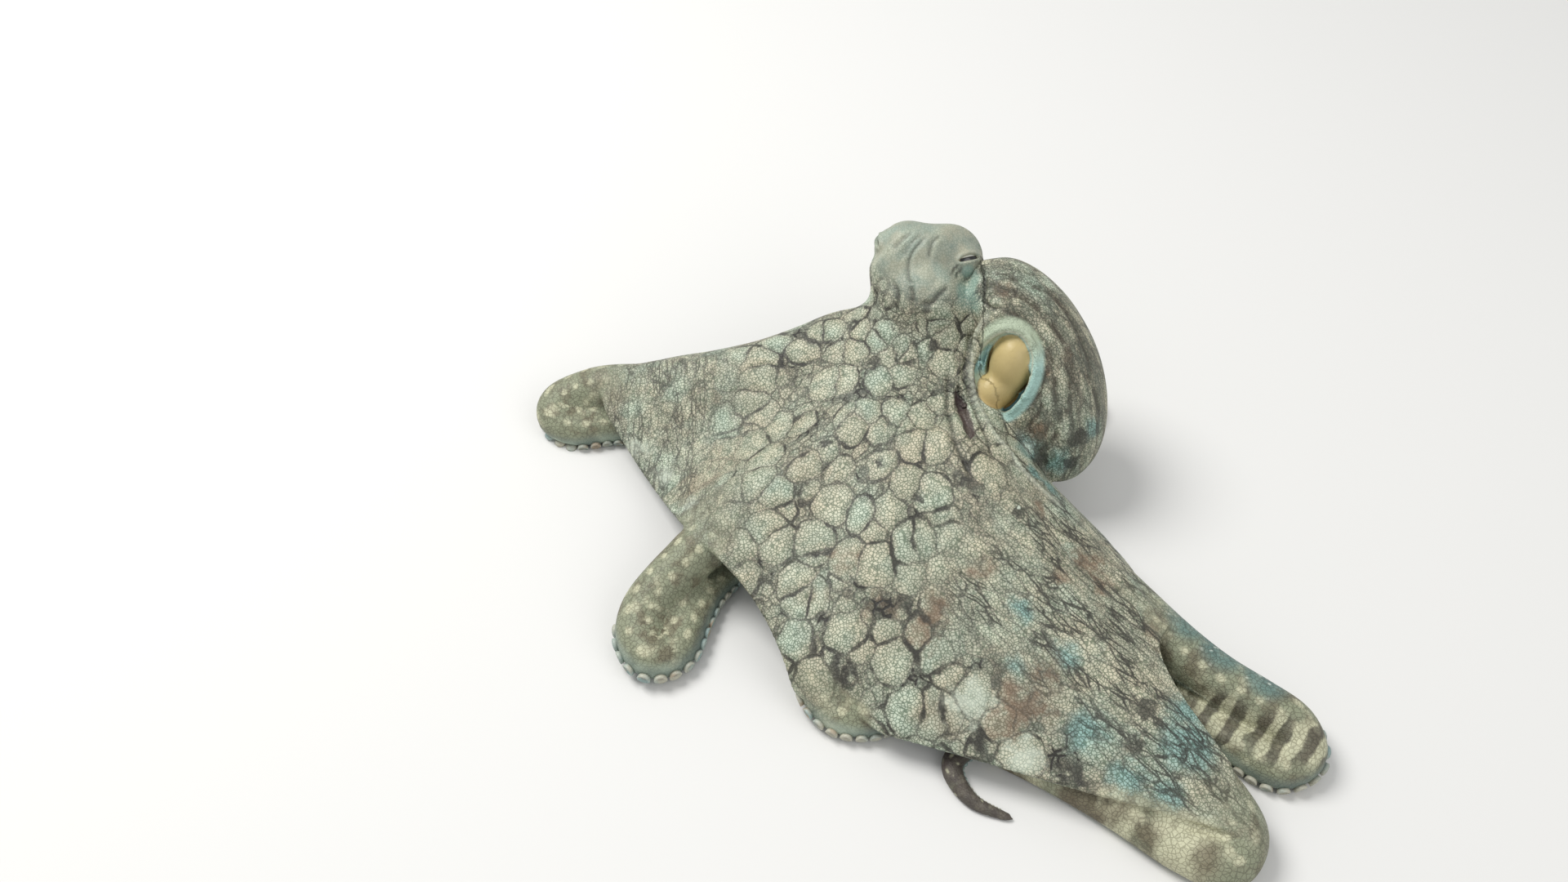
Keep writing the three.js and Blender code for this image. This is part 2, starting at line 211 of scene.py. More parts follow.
# A round arm with a rounded tip and one flat side for its suckers.
def armFlesh(name):
    length = arms[name]["length"]
    share = np.linspace(0, 1, int(length / armShape["pitch"]))
    centre, side, top, radius, bend = armAt(name, share, "centre", "side", "top", "radius", "bend")
    end = np.clip((1 - share) * length / (armShape["tip"] * 1.5), 0, 1)
    radius = radius * np.sqrt(np.maximum(1 - (1 - end) ** 2, 0.02))
    turn = 2 * math.pi * (np.arange(armShape["sides"]) + 0.5) / armShape["sides"]
    low = armShape["suckerDepth"] - armShape["flat"]
    up = low + armShape["soft"] * np.logaddexp(0, (np.sin(turn) - low) / armShape["soft"])
    offset = (side[:, None] * (radius[:, None] * np.cos(turn))[..., None]
              + top[:, None] * (radius[:, None] * up)[..., None])
    bend = bend[:, None]
    tight = np.maximum(np.linalg.norm(bend, axis=-1, keepdims=True), 1e-6)
    inward = (offset * bend).sum(-1, keepdims=True) / tight
    over = np.maximum(inward - armShape["squeeze"] / tight, 0)
    return loft("flesh", centre[:, None] + offset - bend / tight * over)


# Each web hangs between two arms. draw is how far its margin is drawn in at mid width, and rise is how far
# it bellies up there.
webs = {
    "left_1_2": dict(arms=("left_1", "left_2"), draw=0.4, rise=-8),
    "left_2_3": dict(arms=("left_2", "left_3"), draw=0.02, rise=-20),
    "left_3_4": dict(arms=("left_3", "left_4"), draw=0.08, rise=-2),
    "ventral": dict(arms=("left_4", "right_4"), draw=0, rise=-2),
    "right_3_4": dict(arms=("right_4", "right_3"), draw=0.18, rise=0),
    "right_2_3": dict(arms=("right_3", "right_2"), draw=0.5, rise=-28),
    "right_1_2": dict(arms=("right_2", "right_1"), draw=0.2, rise=-4),
    "dorsal": dict(arms=("right_1", "left_1"), draw=0.25, rise=-4),
}
webShape = dict(
    out=60,
    across=44,
    start=0.02,  # share of its way out at which it starts
    ending=(0.86, 1.0),  # shares of its way out over which it thins and sinks into its arms
    root=6.0,  # thickness near the crown
    margin=2.6,  # thickness near the free margin
    thinned=0.35,  # share of the thickness that is gone at the margin itself
    rim=1.7,  # radius of the roll along the margin
    clear=1.5,  # how far it lies over its arms
    slack=2.0,  # how far it sinks between them
)


# Rings round a path. radius is one number or one for each point, and depth is their height for their width.
def ringsRound(path, radius, sides, depth=1.0):
    forward = unit(np.gradient(path, axis=0))
    side = unit(np.cross([0, 0, 1], forward))
    top = np.cross(forward, side)
    turn = 2 * math.pi * np.arange(sides) / sides
    radius = np.broadcast_to(radius, len(path))[:, None]
    return (path[:, None] + side[:, None] * (radius * np.cos(turn))[..., None]
            + top[:, None] * (radius * depth * np.sin(turn))[..., None])


# A sheet between two arms, in steps outwards, s, and across, t, with a roll along its free margin.
def webFlesh(web):
    s = np.linspace(webShape["start"], 1, webShape["out"])[:, None]
    t = np.linspace(0, 1, webShape["across"])[None, :]
    belly = np.sin(math.pi * t)
    reach = s * (1 - web["draw"] * belly)
    first, second = (armAt(name, reach * arms[name]["webbed"], "centre", "radius", "top")
                     for name in web["arms"])
    point = lerp(first[0], second[0], t[..., None])
    point[..., 2] += web["rise"] * belly * reach
    off = unit(np.cross(np.gradient(point, axis=0), np.gradient(point, axis=1)))
    edge = smoothStep(np.abs(2 * t - 1), 0.7, 1.0)
    offArm = np.where(t[..., None] < 0.5, first[2], second[2])
    off = unit(lerp(off, offArm, edge[..., None]))
    ending = smoothStep(s, *webShape["ending"])
    thick = lerp(webShape["root"], webShape["margin"], np.clip(2 * s, 0, 1))
    thick = thick * (1 - webShape["thinned"] * ending)
    lift = lerp(first[1], second[1], t) + webShape["clear"] * (1 - ending * edge)
    lift = lift - webShape["slack"] * belly * smoothStep(s, 0.1, 0.5)
    lift = lift - ending * edge * (thick - 0.3)
    inner = point + off * (lift - 1.0)[..., None]
    outer = point + off * (lift + thick)[..., None]
    web["rim"] = (inner[-1] + outer[-1]) / 2
    return [loft("flesh", np.concatenate([inner, outer[:, ::-1]], axis=1), sheet=True),
            loft("flesh", ringsRound(web["rim"], webShape["rim"], 12))]


# The block in which all arms start, as level oval rings: height, x, y, half width, half depth.
crown = dict(
    sides=56,
    rings=30,
    rows=[(30, 68, -16, 14, 14), (40, 68, -16, 30, 30), (54, 67, -14, 38, 38), (67, 66, -5, 37, 37),
          (80, 68, 9, 33, 28), (93, 71, 15, 24, 19)],
)


def crownFlesh():
    rows, _ = curveThrough(crown["rows"], crown["rings"])
    turn = 2 * math.pi * np.arange(crown["sides"]) / crown["sides"]
    z, x, y, rx, ry = (rows[:, k:k + 1] for k in range(5))
    rings = np.stack([x + rx * np.cos(turn), y + ry * np.sin(turn), z + 0 * turn], -1)
    return loft("flesh", rings)


# The mantle's centreline and radius: a bag hung behind the head, its blunt end low.
mantle = dict(
    sides=64,
    rings=60,
    depth=0.92,
    rows=[(94, 16, 104, 11), (106, 13, 98, 22), (118, 7, 84, 28.5), (129, -4, 65, 32), (136, -18, 47, 30.5),
          (139, -32, 31, 24), (139, -43, 20, 11)],
    opening=dict(centre=(109, -19.5, 74.5), radii=(14.5, 14, 26)),
)
# The opening's floor is brought up along out to a pit of this depth, and its rim is rolled.
mouth = dict(
    out=(-0.33, -0.83, 0.44),
    sunk=3.0,
    depth=3.5,
    within=(0.97, 1.04),  # where the pit ends, in the opening's radii
    offLobe=(1.02, 1.12),  # where the funnel's lobes end, in theirs
    roll=1.2,
    rollAt=1.12,
    rollWidth=0.1,
    front=-2,  # the rim is rolled in front of here
)
# The funnel's lobes stand in the opening.
funnel = [
    dict(centre=(112.5, -15.4, 77), radii=(10.5, 12, 18)),
    dict(centre=(102.5, -23, 62), radii=(8, 9, 12.5)),
    dict(centre=(108.5, -20, 65.5), radii=(9, 9, 12)),
]
rimFill = dict(centre=(171, -224, 15.5), radii=(15, 7, 6))  # closes the front web's margin onto its arm


def ellipsoid(name, centre, radii):
    bpy.ops.mesh.primitive_uv_sphere_add(segments=48, ring_count=32, radius=mm)
    obj = bpy.context.object
    obj.name = name
    obj.data.transform(Matrix.Diagonal((*radii, 1)))
    obj.data.transform(Matrix.Translation(Vector((np.array(centre) + planShift) * mm)))
    return obj


def mantleFlesh():
    rows, _ = curveThrough(mantle["rows"], mantle["rings"])
    bag = loft("flesh", ringsRound(rows[:, :3], rows[:, 3], mantle["sides"], mantle["depth"]))
    cutter = ellipsoid("cutter", **mantle["opening"])
    cut = bag.modifiers.new("opening", "BOOLEAN")
    cut.operation = "DIFFERENCE"
    cut.object = cutter
    applyAll(bag)
    bpy.data.objects.remove(cutter)
    return bag


head = dict(
    sides=90,
    rings=60,
    heart=(71, 29, 102),  # a place inside every mass
    blend=9,  # higher for sharper seams between the masses
    masses=[
        dict(centre=(71, 18, 84), radii=(27, 24, 30)),
        dict(centre=(71, 31, 107), radii=(19, 15, 17)),
        dict(centre=(61, 34.5, 106.5), radii=(14.5, 15, 16)),
        dict(centre=(59.5, 28, 100), radii=(16, 14, 18)),
        dict(centre=(82, 30, 102), radii=(16, 16, 17)),
        dict(centre=(83.5, 32, 108), radii=(15.2, 13, 14.5)),
    ],
)


# The head's masses as one surface: how far each reaches every way from the heart, blended.
def headFlesh():
    heart = np.array(head["heart"], float)
    polar = np.linspace(0.02, math.pi - 0.02, head["rings"])[:, None]
    turn = 2 * math.pi * np.arange(head["sides"])[None] / head["sides"]
    way = np.stack([np.sin(polar) * np.cos(turn), np.sin(polar) * np.sin(turn), 0 * turn - np.cos(polar)], -1)
    powers = 0
    for mass in head["masses"]:
        fromHeart = (heart - np.array(mass["centre"])) / mass["radii"]
        scaled = way / mass["radii"]
        a = (scaled ** 2).sum(-1)
        b = scaled @ fromHeart
        c = (fromHeart ** 2).sum() - 1
        powers = powers + ((np.sqrt(b * b - a * c) - b) / a) ** head["blend"]
    reach = powers ** (1 / head["blend"])
    return loft("flesh", heart + way * reach[..., None])


def applyAll(obj):
    bpy.ops.object.select_all(action="DESELECT")
    bpy.context.view_layer.objects.active = obj
    obj.select_set(True)
    for modifier in list(obj.modifiers):
        bpy.ops.object.modifier_apply(modifier=modifier.name)


def joinAll(objects, name):
    bpy.ops.object.select_all(action="DESELECT")
    for obj in objects:
        obj.select_set(True)
    bpy.context.view_layer.objects.active = objects[0]
    bpy.ops.object.join()
    objects[0].name = name
    return objects[0]


skinShape = dict(
    voxel=1.2,
    faces=190000,  # triangles left at the end
    finer=[("eye_right", 17), ("eye_left", 14), ("head", 20), ("opening", 34)],  # where, and how far round
    finest=[("eye_right", 13)],
)

flesh = [armFlesh(name) for name in arms]
flesh += [piece for web in webs.values() for piece in webFlesh(web)]
flesh += [crownFlesh(), mantleFlesh(), headFlesh()]
flesh += [ellipsoid("flesh", **lobe) for lobe in funnel + [rimFill]]
skin = joinAll(flesh, "skin")
remesh = skin.modifiers.new("one skin", "REMESH")
remesh.mode = "VOXEL"
remesh.voxel_size = skinShape["voxel"] * mm
applyAll(skin)
print("skin", len(skin.data.vertices), "vertices", len(skin.data.polygons), "faces")


def readPoints(obj):
    points = np.empty(len(obj.data.vertices) * 3, np.float32)
    obj.data.vertices.foreach_get("co", points)
    return points.reshape(-1, 3).astype(float) / mm - planShift


def readNormals(obj):
    normals = np.empty(len(obj.data.vertices) * 3, np.float32)
    obj.data.vertex_normals.foreach_get("vector", normals)
    return normals.reshape(-1, 3).astype(float)


def writePoints(obj, points):
    obj.data.vertices.foreach_set("co", ((points + planShift) * mm).astype(np.float32).ravel())
    obj.data.update()


def fromPlace(points, place):
    return np.linalg.norm(points - np.array(place), axis=1)


# The nearest of some places to each point: its number, and how far off it is.
def nearestOf(places, points):
    tree = KDTree(len(places))
    for index, place in enumerate(places):
        tree.insert(place, index)
    tree.balance()
    found = np.array([tree.find(point)[1:] for point in points])
    return found[:, 0].astype(int), found[:, 1]


# How far points lie from the middle of the nearest ball, as a share of its radii.
def ballShare(points, balls):
    return np.min([np.linalg.norm((points - ball["centre"]) / ball["radii"], axis=1) for ball in balls],
                  axis=0)


# Smooths points along their edges by a weight for each, without shrinking.
def relax(obj, points, weight, rounds, inflate=1.04):
    edges = np.empty(len(obj.data.edges) * 2, np.int32)
    obj.data.edges.foreach_get("vertices", edges)
    a, b = edges.reshape(-1, 2).T
    both = np.concatenate([a, b])
    other = np.concatenate([b, a])
    count = len(points)
    degree = np.maximum(np.bincount(both, minlength=count), 1)[:, None]
    weight = np.broadcast_to(weight, count)[:, None]
    for _ in range(rounds):
        for pull in (0.5, -0.5 * inflate):
            mean = np.stack([np.bincount(both, points[other, k], count) for k in range(3)], 1) / degree
            points = points + pull * weight * (mean - points)
    return points


# Splits the faces within a distance of some places.
def refine(obj, places):
    points = readPoints(obj)
    near = np.zeros(len(points), bool)
    for place, reach in places:
        near |= fromPlace(points, place) < reach
    bpy.ops.object.mode_set(mode="EDIT")
    bpy.ops.mesh.select_mode(type="VERT")
    bpy.ops.mesh.select_all(action="DESELECT")
    bpy.ops.object.mode_set(mode="OBJECT")
    obj.data.vertices.foreach_set("select", near)
    bpy.ops.object.mode_set(mode="EDIT")
    bpy.ops.mesh.select_mode(type="FACE")
    bpy.ops.mesh.subdivide(number_cuts=1, smoothness=0)
    bpy.ops.object.mode_set(mode="OBJECT")


pathShape = dict(
    steps=60,
    laid=24,  # points of a path brought onto the skin
    reach=12,  # how far from a path its distance is worked out
)


# How far points lie from a path, and where along it they are, from 0 to 1.
def fromPath(points, path):
    path, _ = curveThrough(path, pathShape["steps"])
    best = np.full(len(points), 1e9)
    along = np.zeros(len(points))
    low, high = path.min(0) - pathShape["reach"], path.max(0) + pathShape["reach"]
    near = np.flatnonzero(((points > low) & (points < high)).all(1))
    spots = points[near]
    for i in range(len(path) - 1):
        a, b = path[i], path[i + 1]
        t = np.clip((spots - a) @ (b - a) / ((b - a) @ (b - a)), 0, 1)
        away = np.linalg.norm(spots - a - t[:, None] * (b - a), axis=1)
        closer = away < best[near]
        best[near[closer]] = away[closer]
        along[near[closer]] = (i + t[closer]) / (len(path) - 1)
    return best, along


# The points of paths, each brought to the nearest place on the skin.
def ontoSkin(paths):
    tree = BVHTree.FromObject(skin, bpy.context.evaluated_depsgraph_get())
    return [[np.array(tree.find_nearest(Vector((place + planShift) * mm))[0]) / mm - planShift
             for place in curveThrough(path, pathShape["laid"])[0]] for path in paths]


# From 0, or another least value, at both ends of a path to 1 along most of it.
def runsOut(along, sharply, least=0.0):
    return np.clip(np.minimum(along, 1 - along) * sharply, least, 1)


# A fold: a groove along a path, with soft lips about two widths off. Its ends run out.
def fold(points, path, width, depth, lip):
    away, along = fromPath(points, path)
    groove = np.exp(-((away / width) ** 2))
    lips = np.exp(-(((away - 2.2 * width) / (1.1 * width)) ** 2))
    return depth * (lip * lips - groove) * runsOut(along, 8, 0.12)


# Where the skin folds, in plan millimetres. pressed is where two lengths of one arm lie against each other,
# cheek, brow and tail belong to the right eye, and hollow is the long pit beside the mantle's opening, with
# lip, a beaded ridge, between the two.
folds = dict(
    pressed=[[(-118, 14, 12), (-103, 13, 14), (-82, 10, 14)],
             [(-62, -130, 10), (-53, -114, 12), (-42, -97, 14)]],
    head=[[(70, 28, 124), (67, 25, 122), (64, 22, 120), (62, 20, 117), (61, 16, 113), (61, 11, 111),
           (64, 7, 109)],
          [(77, 28, 124), (73, 25, 122), (72, 22, 121), (71, 18, 117)],
          [(68, 29, 124), (64, 26, 123), (61, 23, 121), (58, 19, 117)],
          [(63, 30, 124), (58, 27, 122), (54, 24, 118)]],
    neck=[[(53, 13, 107), (55, 9, 106), (56, 5, 103), (54, 1, 98)],
          [(62, 8, 109), (63, 4, 106), (62, 0, 101)],
          [(47, 16, 101), (45, 14, 96), (44, 10, 90)],
          [(81, 8, 109), (76, 4, 107), (72, 1, 104), (66, 2, 103)]],
    cheek=[[(98, 22, 112), (98, 12, 112), (98, 5, 110), (98, 1, 106), (101, -4, 105), (107, -6, 108)]],
    brow=[[(86, 20, 113), (84, 17, 111), (82, 13, 110)]],
    tail=[[(88, 19, 112), (87, 17, 110), (84, 12, 108)]],
    groove=[[(119, -14, 100), (125, -19, 94), (128, -24, 89), (127, -29, 82), (125, -33, 75),
             (119, -35, 68)]],
    mantle=[[(100, 6, 113), (108, 0, 112), (119, -4, 109), (128, -9, 102), (136, -15, 93), (141, -23, 84)],
            [(104, 10, 114), (116, 5, 114), (131, 4, 106), (142, -4, 96), (147, -11, 87), (152, -20, 78)],
            [(106, -7, 107), (113, -10, 105), (121, -14, 99), (129, -21, 91), (132, -28, 82), (133, -36, 72)],
            [(148, -21, 80), (154, -27, 68), (157, -31, 60)],
            [(139, -22, 88), (141, -30, 78), (140, -37, 68)]],
    lowMantle=[[(127, -33, 75), (125, -38, 65), (120, -43, 58)],
               [(136, -39, 66), (133, -46, 54), (128, -50, 48)]],
    throat=[[(82, -17, 80), (81, -26, 74), (81, -40, 68), (82, -58, 69), (86, -70, 67), (89, -79, 65)]],
    hollow=[[(86, -26, 73), (87, -33, 68), (89, -44, 68), (90, -56, 69)]],
    lipDark=[[(96, -4, 98), (93, -4, 86), (91, -14, 79), (89, -20, 76), (91, -26, 71), (95, -42, 67),
              (99, -56, 66), (99, -73, 66)]],
    lip=[[(99, -6, 102), (95, -6, 93), (94, -9, 82), (93, -20, 75), (95, -31, 68), (99, -39, 67),
          (102, -48, 65), (108, -55, 61), (115, -66, 57), (123, -73, 53), (132, -79, 48)]],
)
# Width and depth of each kind of groove, and how high its lips stand as a share of its depth. A dark line of
# painted shade in the groove, or a broken brown band that is partly painted shade, is drawn along it, of this
# width and strength.
creases = dict(
    head=dict(width=1.1, depth=0.7, lip=0.35, dark=(0.7, 0.6)),
    neck=dict(width=1.4, depth=0.9, lip=0.35, dark=(1.2, 0.75)),
    mantle=dict(width=1.4, depth=0.7, lip=0.35, band=(2.1, 1.0)),
    lowMantle=dict(width=1.0, depth=0.6, lip=0.35, band=(1.5, 1.0)),
    cheek=dict(width=1.3, depth=1.3, lip=0.15, dark=(1.2, 0.95)),
    brow=dict(width=0.8, depth=0.8, lip=0.15, dark=(0.7, 0.9)),
    tail=dict(width=0.8, depth=0.8, lip=0.15, dark=(0.7, 0.9)),
    groove=dict(width=1.2, depth=1.0, lip=0.15, band=(2.6, 1.0)),
    throat=dict(width=1.6, depth=1.6, lip=0.15, dark=(1.5, 0.85)),
    lipDark=dict(width=1.2, depth=1.1, lip=0.15, dark=(1.3, 0.75)),
)
hollow = dict(width=3.4, depth=3.0)
ridge = dict(width=1.9, height=1.7, beads=34)  # the lip beside it
lids = dict(
    shell=11.5,  # how far from the eye's middle the skin over it lies
    floor=9.0,  # the same inside the slit, where it is under the eyeball's surface
    within=(22, 15),  # from how far off the skin is drawn onto the shell, and from where it is all there
    rim=0.8,  # how much fuller the slit's rims are
    rimAt=5,  # how far outside the slit they are fullest, in degrees
    rimWidth=6,
    bow=3,  # how far the slit's middle lies over its ends, in degrees
    # half is a slit's half length and gape its half width, in degrees. spread is how far round from its gaze
    # the skin is drawn onto the shell, as cosines.
    slit={
        "eye_left": dict(gaze=(-0.9, 0.1, 0.42), level=(0.25, 0.1, 0.96), half=26, gape=5,
                         spread=(0.5, 0.85)),
        "eye_right": dict(gaze=(0.34, -0.55, 0.76), level=(-0.243, 0.757, 0.605), half=28, gape=6.5,
                          spread=(0.15, 0.55)),
    },
)


# The way an eye looks, and what is level and upright across its slit.
def eyeFrame(name):
    cut = lids["slit"][name]
    gaze, level = unit(np.array(cut["gaze"])), unit(np.array(cut["level"]))
    level = unit(level - gaze * (level @ gaze))
    return np.cross(level, gaze), level, gaze


# Draws the skin over an eye: a shell around the eyeball with a slit in it, whose rims are full.
def drawLids(points, name):
    eye, cut = np.array(eyes[name]), lids["slit"][name]
    along, level, gaze = eyeFrame(name)
    offset = points - eye
    away = np.linalg.norm(offset, axis=1)
    way = offset / np.maximum(away, 1e-6)[:, None]
    lon = np.degrees(np.arctan2(way @ along, way @ gaze))
    middling = 1 - (lon / cut["half"]) ** 2
    lat = np.degrees(np.arcsin(np.clip(way @ level, -1, 1))) - lids["bow"] * middling
    gape = cut["gape"] * np.sqrt(np.clip(middling, 0, 1))
    facing = smoothStep(way @ gaze, *cut["spread"]) * smoothStep(away, *lids["within"])
    full = smoothStep(cut["half"] + 12 - np.abs(lon), 0, 14)
    offRim = (np.abs(lat) - gape - lids["rimAt"]) / lids["rimWidth"]
    shell = lids["shell"] + lids["rim"] * np.exp(-(offRim ** 2)) * full
    inside = 1 - smoothStep(np.abs(lat) / np.maximum(gape, 0.8), 0.8, 1.15)
    inside = np.where(np.abs(lon) < cut["half"], inside, 0)
    reach = lerp(away, lerp(shell, lids["floor"], inside), facing)
    return eye + way * reach[:, None]


# How the blended skin is smoothed: rounds, and between which two distances it sets in or fades out.
smoothing = dict(
    evenly=5,
    web=dict(rounds=70, fromRim=(5, 16), height=(12, 24), body=(90, 10, 92), fromBody=(50, 62)),
    pressed=dict(rounds=60, away=(3, 11)),
    crown=dict(rounds=80, centre=(68, -8, 66), squash=(1, 1, 0.62), away=(44, 64)),
    funnel=dict(rounds=16, share=(1.0, 1.15), inflate=0.5),
    head=dict(rounds=12, centre=(72, 22, 98), away=(20, 40), inflate=0.4),
    offOpening=(26, 34),  # the rim of the mantle's opening stays crisp
)


def smoothSkin(points):
    points = relax(skin, points, 1.0, smoothing["evenly"])
    how = smoothing["web"]
    rims = np.vstack([curveThrough(web["rim"], 40)[0] for web in webs.values()])
    draped = smoothStep(nearestOf(rims, points)[1], *how["fromRim"])
    draped *= smoothStep(points[:, 2], *how["height"])
    draped *= smoothStep(fromPlace(points, how["body"]), *how["fromBody"])
    points = relax(skin, points, draped, how["rounds"], inflate=0)
    how = smoothing["pressed"]
    for path in folds["pressed"]:
        away, _ = fromPath(points, path)
        points = relax(skin, points, 1 - smoothStep(away, *how["away"]), how["rounds"], inflate=0)
    offOpening = smoothStep(fromPlace(points, mantle["opening"]["centre"]), *smoothing["offOpening"])
    how = smoothing["crown"]
    away = np.linalg.norm((points - how["centre"]) / how["squash"], axis=1)
    points = relax(skin, points, (1 - smoothStep(away, *how["away"])) * offOpening, how["rounds"], inflate=0)
    how = smoothing["funnel"]
    onLobe = 1 - smoothStep(ballShare(points, funnel), *how["share"])
    points = relax(skin, points, onLobe, how["rounds"], how["inflate"])
    how = smoothing["head"]
    nearHead = 1 - smoothStep(fromPlace(points, how["centre"]), *how["away"])
    return relax(skin, points, nearHead * offOpening, how["rounds"], how["inflate"])


# Brings the floor of the mantle's opening up to a shallow pit and rolls its rim.
def openMantle(points, normals):
    share = ballShare(points, [mantle["opening"]])
    offLobe = smoothStep(ballShare(points, funnel), *mouth["offLobe"])
    within = (1 - smoothStep(share, *mouth["within"])) * offLobe
    out = unit(np.array(mouth["out"]))
    depth = -(points - np.array(mantle["opening"]["centre"])) @ out + mouth["sunk"]
    shallow = mouth["depth"] * (1 - np.exp(-np.maximum(depth, 0) / mouth["depth"]))
    points = points + out * (within * np.maximum(depth - shallow, 0))[:, None]
    roll = np.exp(-(((share - mouth["rollAt"]) / mouth["rollWidth"]) ** 2)) * offLobe
    return points + normals * (mouth["roll"] * roll * (points[:, 1] < mouth["front"]))[:, None]


# The long hollow's depth from 0 to 1: widest at its middle, with pointed ends.
def hollowShape(points):
    away, along = fromPath(points, ontoSkin(folds["hollow"])[0])
    width = hollow["width"] * np.sqrt(np.sin(math.pi * np.clip(along, 0.01, 0.99)))
    return np.exp(-((away / width) ** 2))


def ridgeShape(points):
    away, along = fromPath(points, ontoSkin(folds["lip"])[0])
    return np.exp(-((away / ridge["width"]) ** 2)), along


def creaseSkin(points, normals):
    lift = np.zeros(len(points))
    for kind, how in creases.items():
        for path in ontoSkin(folds[kind]):
            lift += fold(points, path, how["width"], how["depth"], how["lip"])
    lift -= hollow["depth"] * hollowShape(points)
    onRidge, along = ridgeShape(points)
    beads = 0.75 + 0.25 * np.sin(along * 2 * math.pi * ridge["beads"])
    lift += ridge["height"] * beads * onRidge * runsOut(along, 8)
    return points + normals * lift[:, None]


writePoints(skin, smoothSkin(readPoints(skin)))
middles = dict(**eyes, head=(74, 18, 108), opening=(112, -20, 78))
for places in (skinShape["finer"], skinShape["finest"]):
    refine(skin, [(middles[name], reach) for name, reach in places])
normals = readNormals(skin)
points = openMantle(readPoints(skin), normals)
writePoints(skin, points)  # the folds are laid on this skin
points = creaseSkin(points, normals)
for name in eyes:
    points = drawLids(points, name)
writePoints(skin, points)
print("sculpted", len(points), "vertices")

bpy.ops.object.select_all(action="DESELECT")
skin.select_set(True)
bpy.context.view_layer.objects.active = skin
triangles = sum(len(face.vertices) - 2 for face in skin.data.polygons)
thin = skin.modifiers.new("fewer faces", "DECIMATE")
thin.ratio = skinShape["faces"] / triangles
applyAll(skin)
bpy.ops.object.shade_smooth()
print("skin thinned from", triangles, "to", len(skin.data.polygons), "triangles")


def writeValues(obj, name, values):
    values = np.asarray(values, np.float32)
    kind = "FLOAT" if values.ndim == 1 else "FLOAT_VECTOR"
    layer = obj.data.attributes.new(name, kind, "POINT")
    layer.data.foreach_set("value" if values.ndim == 1 else "vector", values.ravel())


# For each point, the nearest arm, its share along it and its place round it.
def onArms(points):
    names = list(arms)
    found, _ = nearestOf(np.vstack([arms[name]["centre"] for name in names]), points)
    which, k = np.divmod(found, armShape["samples"])
    tables = {key: np.stack([arms[name][key] for name in names])[which, k]
              for key in ("centre", "side", "top", "radius", "share", "lean")}
    tables["run"] = tables["share"] * np.array([arms[name]["length"] for name in names])[which]
    tables["webbed"] = np.array([arms[name]["webbed"] for name in names])[which]
    offset = (points - tables["centre"]) / tables["radius"][:, None]
    tables["sideways"] = (offset * tables["side"]).sum(1)
    tables["upward"] = (offset * tables["top"]).sum(1)
    tables["which"] = which
    return tables


def nearPlaces(points, places):
    return np.max([np.exp(-((fromPlace(points, place) / reach) ** 2)) for *place, reach in places], axis=0)


# Marks on the skin and stretches of arm with a colour of their own, and patches of painted shade: where each
# is, and how far it reaches.
marks = dict(
    redMark=[(106, 1, 113, 5), (127, -27, 84, 4), (139, -20, 89, 5), (103, -179, 29, 13),
             (113, -177, 33, 12), (97, -186, 25, 9), (116, -162, 40, 9), (141, -113, 46, 9),
             (196, -163, 27, 12), (127, -125, 53, 6), (147, -125, 44, 7), (63, -147, 36, 9),
             (69, -135, 41, 8), (120, -90, 56, 7), (170, -140, 34, 11), (-70, -112, 16, 9),
             (30, -110, 42, 8), (44, -132, 36, 8), (126, -42, 56, 7), (90, -120, 50, 8)],
    whiteMark=[(82, -175, 27, 13), (106, -199, 20, 11), (28, -150, 20, 9), (121, -48, 50, 6),
               (-20, -92, 30, 8), (-78, -20, 19, 9), (-62, -40, 20, 8), (-47, -68, 31, 7)],
    darkMark=[(77, -156, 36, 5), (157, -185, 38, 8), (152, -198, 32, 6), (47, -66, 63, 4.5),
              (20, -52, 61, 4), (64, -85, 60, 4), (110, -95, 61, 4.5), (70, -1, 102, 3.6), (74, -11, 86, 4),
              (129, -48, 42, 6), (146, -43, 55, 8.5), (145, -48, 40, 7), (134, -38, 67, 4),
              (56, 6, 104, 2.6), (62, 7, 108, 2), (52, -4, 92, 4), (63, -2, 92, 3.5)],
    # painted shade, tinted blue-green, along the front web's right margin and under the mantle's end
    tealMark=[(126, -160, 41, 8), (131, -191, 30, 10), (148, -211, 24, 10), (164, -220, 24, 9),
              (175, -200, 34, 14), (176, -184, 35, 10), (108, -138, 46, 6), (105, -160, 37, 6),
              (122, -45, 49, 9), (138, -48, 41, 9), (122, -63, 51, 5), (131, -69, 46, 6),
              (154, -38, 55, 6)],
    knotMark=[(47, -65, 63, 1.5), (110, -92, 61, 1.7)],
    coneMark=[(91, 18, 109, 4.5), (92, 12, 108, 6), (90, 8, 104, 7), (91, 3, 102, 7)],
    tealArm=[(203, -147, 26, 16), (220, -161, 25, 14), (188, -134, 31, 14)],
    barred=[(200, -176, 12, 17), (221, -187, 12, 17), (234, -190, 14, 14)],
    banded=[(100, -196, 10, 22), (138, -216, 10, 24), (172, -234, 10, 22), (196, -232, 10, 14)],
    darkTip=[(86, -186, 6, 12), (77, -196, 5, 14), (84, -210, 4, 15), (99, -219, 3, 15)],
)
spotRows = dict(
    pitch=9.5,  # along an arm
    aside=0.42,  # of each row from the middle of the arm's top, in arm radii
    length=2.7,
    width=2.4,
)


# Pale spots in two rows along the top of each arm.
def armSpots(place):
    spotted = np.zeros(len(place["run"]))
    for row in (-1, 1):
        run = place["run"] + row * spotRows["pitch"] / 4
        along = (run % spotRows["pitch"] - spotRows["pitch"] / 2) / spotRows["length"]
        aside = (place["sideways"] - row * spotRows["aside"]) * place["radius"] / spotRows["width"]
        spotted = np.maximum(spotted, np.exp(-(along ** 2) - aside ** 2) * (place["upward"] > 0))
    return spotted
